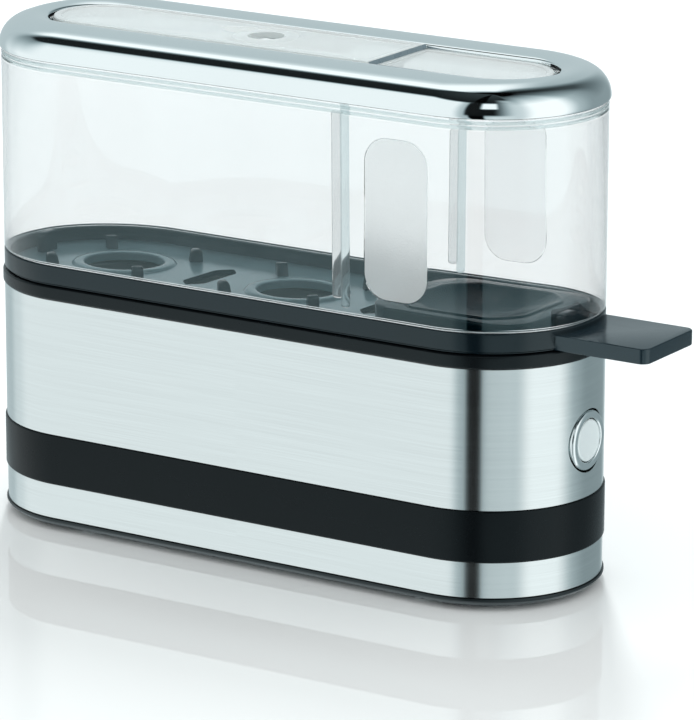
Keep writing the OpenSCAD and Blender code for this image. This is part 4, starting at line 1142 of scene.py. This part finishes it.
class MakeChromeRing(Settings, bpy.types.Operator):
    """Chrome ring: quarter round, crown and fall to the window, three arcs that meet without a corner"""

    bl_idname = "egg_cooker.chrome_ring"
    bl_label = "Chrome ring"

    def execute(self, context):
        c = self.cover
        low, crest = CHROME[0][2], CHROME[1][2]
        ring_r = CHROME[1][1]
        hub, spring = ring_r - c.shoulder, low + RING_RISE
        wall = RING_WALL
        crown_from = 70                       # angle at which the crown leaves the quarter round
        lean = math.radians(crown_from)
        crown_r = (crest - spring - c.shoulder * math.sin(lean)) / (1 - math.sin(lean))
        crest_r = hub - (crown_r - c.shoulder) * math.cos(lean)
        window_r, window_z = c.window / 2, spring + c.shoulder - 0.3
        across, fall = crest_r - window_r, crest - window_z
        fall_r = (across ** 2 + fall ** 2) / (2 * fall)
        fall_turn = math.degrees(math.asin((across - 0.3) / fall_r))
        profile = np.concatenate([
            [[ring_r - wall, low + 0.1], [ring_r - wall + 0.1, low], [ring_r - 0.25, low],
             [ring_r - 0.07, low + 0.07]],
            arc(hub, spring, c.shoulder, 0, crown_from, 30),
            arc(crest_r, crest - crown_r, crown_r, crown_from, 90, 12)[1:],
            arc(crest_r, crest - fall_r, fall_r, 90, 90 + fall_turn, 10)[1:],
            [[window_r + 0.1, window_z - 0.1], [window_r, window_z - 0.3]]])
        inner = np.concatenate([[[window_r, spring + c.shoulder - wall]],
                                arc(hub, spring, c.shoulder - wall, 90, 0, 14), profile[:1]])
        window_longer = ring_r - c.window_end - window_r
        plain_r = 24        # from here outwards the ring follows the plan

        def longer(r):
            """The window is longer than the plan: smoothly from its edge to plain_r."""
            share = np.clip((r - window_r) / (plain_r - window_r), 0, 1)
            return window_longer * (1 - share ** 2 * (3 - 2 * share))

        skin = Skin()
        s = stations(96, 6)
        for part in (profile, inner, np.stack([profile[-1], inner[0]])):
            skin.sweep(part, s, closed=False, longer=longer)
        # Painted shadow: near each end the ring's inner edge takes a black finish, for the shade in the gap
        # between the window and the ring.
        middle = (s[1:] + s[:-1]) / 2 % (STRAIGHT * 2 + HALF_TURN)
        shadow_share = 0.36   # the inner edge is dark this far to each side of an end's middle, in half turns
        shadowed_ends = np.abs(middle - END_MIDDLE) < HALF_TURN * shadow_share
        skin.slots[-len(shadowed_ends):] = shadowed_ends.astype(int).tolist()
        chrome = polished("chrome", self.finish.chrome)
        gap = moulded("ring_gap", (0.003, 0.004, 0.005), 0.5, gloss=0.1)
        make_piece("chrome_ring_polished", skin, [chrome, gap], "cover", ["cover_ring"], sharp=40)
        return {"FINISHED"}


class CoatHiddenPieces(Settings, bpy.types.Operator):
    """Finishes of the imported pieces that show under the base, in the openings and inside"""

    bl_idname = "egg_cooker.inner_pieces"
    bl_label = "Inner pieces"

    def execute(self, context):
        black = self.finish.black
        coats = {
            ("base_plate",): moulded("base_plate_satin", black, 0.34, bump=0.08),
            ("feet", "cord_gland"):
                moulded("rubber_matt", (0.012, 0.012, 0.013), 0.75, grain=1400, bump=0.25, gloss=0.3),
            ("inner_frame", "switch_body", "button_plunger"):
                moulded("frame_plastic", (0.03, 0.033, 0.035), 0.5),
            ("dish_seal",): moulded("seal_silicone", (0.28, 0.29, 0.29), 0.6, bump=0.1),
            ("heater_terminals",): moulded("ceramic", (0.68, 0.66, 0.58), 0.55, bump=0.1),
            ("thermostat",): moulded("phenolic", (0.05, 0.034, 0.022), 0.45),
            ("thermal_fuse",): moulded("fuse_body", (0.6, 0.62, 0.56), 0.35),
            ("terminal_block",): moulded("connector", (0.66, 0.65, 0.6), 0.4),
            ("lead_wires",): moulded("lead_sleeving", (0.28, 0.09, 0.03), 0.5, grain=2400, bump=0.2),
            ("heater_tube",): polished("heater_sheath", (0.22, 0.22, 0.21), 0.42),
            ("thermostat_clip", "switch_nut", "base_screws", "terminal_screws"):
                polished("zinc_steel", (0.5, 0.52, 0.53), 0.28),
            ("water_dish",): polished("dish_steel", (0.56, 0.6, 0.6), 0.3),
        }
        for nodes, finish in coats.items():
            for node in nodes:
                coat_node(node, finish)
        return {"FINISHED"}


class SetStudio(Settings, bpy.types.Operator):
    """Floor, surroundings, lamp and camera"""

    bl_idname = "egg_cooker.studio"
    bl_label = "Studio"

    def surroundings(self):
        """A white room for all but mirrored rays and those that leave the cover upward.

        They see a studio. Its parts are bands of azimuth and height, in degrees, each mixed over the
        last: a white sweep at the left and behind, a white wall ahead on the right, grey walls between,
        a bright card high behind, a dark ceiling, a black strip and flag, and a bright card before them.
        """
        world = bpy.data.worlds.new("studio")
        bpy.context.scene.world = world
        world.use_nodes = True
        nodes = Nodes(world.node_tree)
        direction = nodes.add("ShaderNodeTexCoord").outputs["Generated"]
        parts = nodes.add("ShaderNodeSeparateXYZ")
        nodes.link(direction, parts.inputs[0])
        x, y, z = parts.outputs
        height = nodes.math("MULTIPLY", nodes.math("ARCSINE", z), 180 / math.pi)
        around = nodes.math("MULTIPLY", nodes.math("ARCTAN2", y, x), 180 / math.pi)

        def band(value, low, high, soft):
            """1 between low and high, with soft edges."""
            rise = nodes.spread(value, low - soft, low + soft, smooth=True)
            fall = nodes.spread(value, high - soft, high + soft, 1, 0, smooth=True)
            return nodes.math("MULTIPLY", rise, fall)

        def over(level, share, brightness):
            """Mixes a brightness over what is there, by a share."""
            kept = nodes.math("MULTIPLY", level, nodes.math("SUBTRACT", 1.0, share))
            return nodes.math("ADD", kept, nodes.math("MULTIPLY", share, brightness))

        def patch(turn, rise):
            """Where a band of azimuth and one of height cross."""
            return nodes.math("MULTIPLY", turn, rise)

        # walls, from the left through the front and the right to the back
        level = nodes.spread(around, -100, -88, 1.02, 0.55, smooth=True)
        level = over(level, band(around, -64, -32, 8), 0.76)
        level = over(level, band(around, -26, 24, 12), 1.18)
        level = over(level, band(around, 42, 104, 14), 0.34)
        level = over(level, patch(band(around, 62, 94, 12), nodes.spread(height, 4, 42)), 0.08)
        level = over(level, band(around, 108, 200, 9), 0.6)
        level = over(level, patch(band(around, 106, 132, 8), band(height, -40, -6, 4)), 0.82)
        seam = nodes.math("ABSOLUTE", around)    # azimuth jumps from 180 to -180 at the left
        level = over(level, nodes.spread(seam, 162, 178, smooth=True), 0.85)
        # darker with height
        rising = nodes.spread(height, -4, 46)
        left_fade = patch(nodes.spread(around, -132, -165, smooth=True), rising)
        level = over(level, left_fade, 0.1)
        back_fade = patch(nodes.spread(around, 160, 179, smooth=True), rising)
        level = over(level, back_fade, 0.1)
        right_fade = patch(nodes.spread(around, -50, -30, smooth=True), nodes.spread(height, 38, 80))
        level = over(level, right_fade, 0.0)
        # a bright card high behind, then the ceiling
        level = over(level, patch(band(around, 112, 166, 8), band(height, 43, 74, 7)), 1.15)
        tilted = nodes.math("ADD", height, nodes.spread(around, -135, -168, 0, 8, smooth=True))
        ceiling = patch(nodes.spread(around, -58, -34, 1, 0, smooth=True),
                        nodes.spread(tilted, 45, 51, smooth=True))
        overhead = patch(nodes.spread(around, -42, -28, 1, 0, smooth=True),
                         nodes.spread(height, 54, 64, smooth=True))
        dark = nodes.math("MAXIMUM", ceiling, overhead)
        level = over(level, dark, nodes.spread(height, 55, 88, 0.014, 0.05))
        # a black strip, the flag beside it and the bright card before it
        level = over(level, band(around, -82.5, -67, 1.5), 0.001)
        flag_fade = patch(nodes.spread(around, -88.5, -84.5, smooth=True),
                          nodes.spread(around, -32, -59, smooth=True))
        level = over(level, patch(flag_fade, band(height, -3, 50, 5)), 0.008)
        card = patch(band(around, -70.5, -54, 2.5), band(height, 25, 47, 3))
        level = over(level, card, 1.1)
        studio = nodes.add("ShaderNodeBackground")
        dim_tint, bright_tint = (0.76, 1.0, 1.07), (0.945, 1.0, 1.01)
        nodes.link(nodes.mixed(nodes.spread(level, 0.15, 1.05), dim_tint, bright_tint), studio.inputs[0])
        nodes.link(level, studio.inputs[1])
        plain = nodes.add("ShaderNodeBackground")
        plain.inputs[0].default_value = (*bpy.context.scene.egg_studio.backdrop, 1)
        path = nodes.add("ShaderNodeLightPath")
        upward = nodes.math("MULTIPLY", path.outputs["Is Transmission Ray"],
                            nodes.spread(height, 3, 16, smooth=True))
        mix = nodes.add("ShaderNodeMixShader")
        nodes.link(nodes.math("MAXIMUM", nodes.mirrored(), upward), mix.inputs[0])
        nodes.link(plain.outputs[0], mix.inputs[1])
        nodes.link(studio.outputs[0], mix.inputs[2])
        nodes.link(mix.outputs[0], world.node_tree.nodes["World Output"].inputs["Surface"])

    def floor(self):
        """A round glossy floor that fades to the room's white."""
        turns = np.radians(np.linspace(0, 360, 65))[:, None]
        reach = np.array([0, 400, 1500, 8000])[None]
        points = np.stack([reach * np.cos(turns), reach * np.sin(turns), np.zeros((65, 4))], -1)
        mesh = bpy.data.meshes.new("floor")
        skin = Skin()
        skin.grid(points)
        mesh.from_pydata(np.concatenate(skin.points) * MM, [], skin.faces)
        floor = bpy.data.objects.new("floor", mesh)
        bpy.context.scene.collection.objects.link(floor)
        finish, nodes, surface = new_finish("floor_gloss")
        place = nodes.add("ShaderNodeTexCoord").outputs["Object"]
        surface.inputs["Base Color"].default_value = (*bpy.context.scene.egg_studio.floor, 1)
        nodes.link(nodes.graded(nodes.noise(place, 9, 3), 0.015, 0.025), surface.inputs["Roughness"])
        surface.inputs["Specular IOR Level"].default_value = 0.3
        unseen = nodes.add("ShaderNodeBsdfTransparent")
        mix = nodes.add("ShaderNodeMixShader")
        nodes.link(nodes.mirrored(), mix.inputs[0])
        nodes.link(surface.outputs[0], mix.inputs[1])
        nodes.link(unseen.outputs[0], mix.inputs[2])
        nodes.link(mix.outputs[0], finish.node_tree.nodes["Material Output"].inputs["Surface"])
        mesh.materials.append(finish)

    def lamp(self, name, place, size, power, towards=(0, 0, 0.03)):
        """A rectangular lamp that lights but isn't mirrored."""
        data = bpy.data.lights.new(name, "AREA")
        data.shape, data.size, data.size_y, data.energy = "RECTANGLE", *size, power
        lamp = bpy.data.objects.new(name, data)
        bpy.context.scene.collection.objects.link(lamp)
        aim = Vector(towards) - Vector(place)
        lamp.matrix_world = Matrix.Translation(place) @ aim.to_track_quat("-Z", "Y").to_matrix().to_4x4()
        lamp.visible_glossy = lamp.visible_transmission = False

    def execute(self, context):
        scene = bpy.context.scene
        scene.view_settings.view_transform = "Standard"
        self.surroundings()
        self.floor()
        self.lamp("lamp_behind", (-1.03, 1.6, 1.25), (0.2, 2.2), 37)
        place, pitch, yaw, roll = (0.6284, -0.9714, 0.3659), 15.351, 32.745, 0.118
        data = bpy.data.cameras.new("camera")
        data.lens, data.sensor_width = scene.egg_studio.lens / MM, 36
        data.clip_start, data.clip_end = 0.01, 100
        camera = bpy.data.objects.new("camera", data)
        scene.collection.objects.link(camera)
        camera.matrix_world = (Matrix.Translation(place)
                               @ Matrix.Rotation(math.radians(yaw), 4, "Z")
                               @ Matrix.Rotation(math.radians(90 - pitch), 4, "X")
                               @ Matrix.Rotation(math.radians(roll), 4, "Z"))
        scene.camera = camera
        return {"FINISHED"}


OPERATORS = [MakeSleeve, MakeBaseMouldings, MakeButton, MakeCarrier, MakeDish, MakeCover, MakeChromeRing,
             CoatHiddenPieces, SetStudio]


class EggCookerPanel(bpy.types.Panel):
    """Lists the pieces and their sizes"""

    bl_idname = "VIEW3D_PT_egg_cooker"
    bl_label = "Egg cooker"
    bl_space_type = "VIEW_3D"
    bl_region_type = "UI"
    bl_category = "Egg cooker"

    def draw(self, context):
        column = self.layout.column()
        for operator in OPERATORS:
            column.operator(operator.bl_idname)
        for group, kind in GROUPS.items():
            box = column.box()
            for name in kind.__annotations__:
                box.prop(getattr(context.scene, group), name)


def register():
    """Makes the settings and operators known, and hangs each group of settings on the scene."""
    for group, kind in GROUPS.items():
        bpy.utils.register_class(kind)
        setattr(bpy.types.Scene, group, PointerProperty(type=kind))
    for operator in OPERATORS:
        bpy.utils.register_class(operator)
    bpy.utils.register_class(EggCookerPanel)


def unregister():
    """Undoes register, in the opposite order."""
    bpy.utils.unregister_class(EggCookerPanel)
    for operator in reversed(OPERATORS):
        bpy.utils.unregister_class(operator)
    for group, kind in GROUPS.items():
        delattr(bpy.types.Scene, group)
        bpy.utils.unregister_class(kind)


def main():
    """Makes every piece in turn."""
    register()
    for operator in OPERATORS:
        area, name = operator.bl_idname.split(".")
        getattr(getattr(bpy.ops, area), name)()


if __name__ == "__main__":
    main()
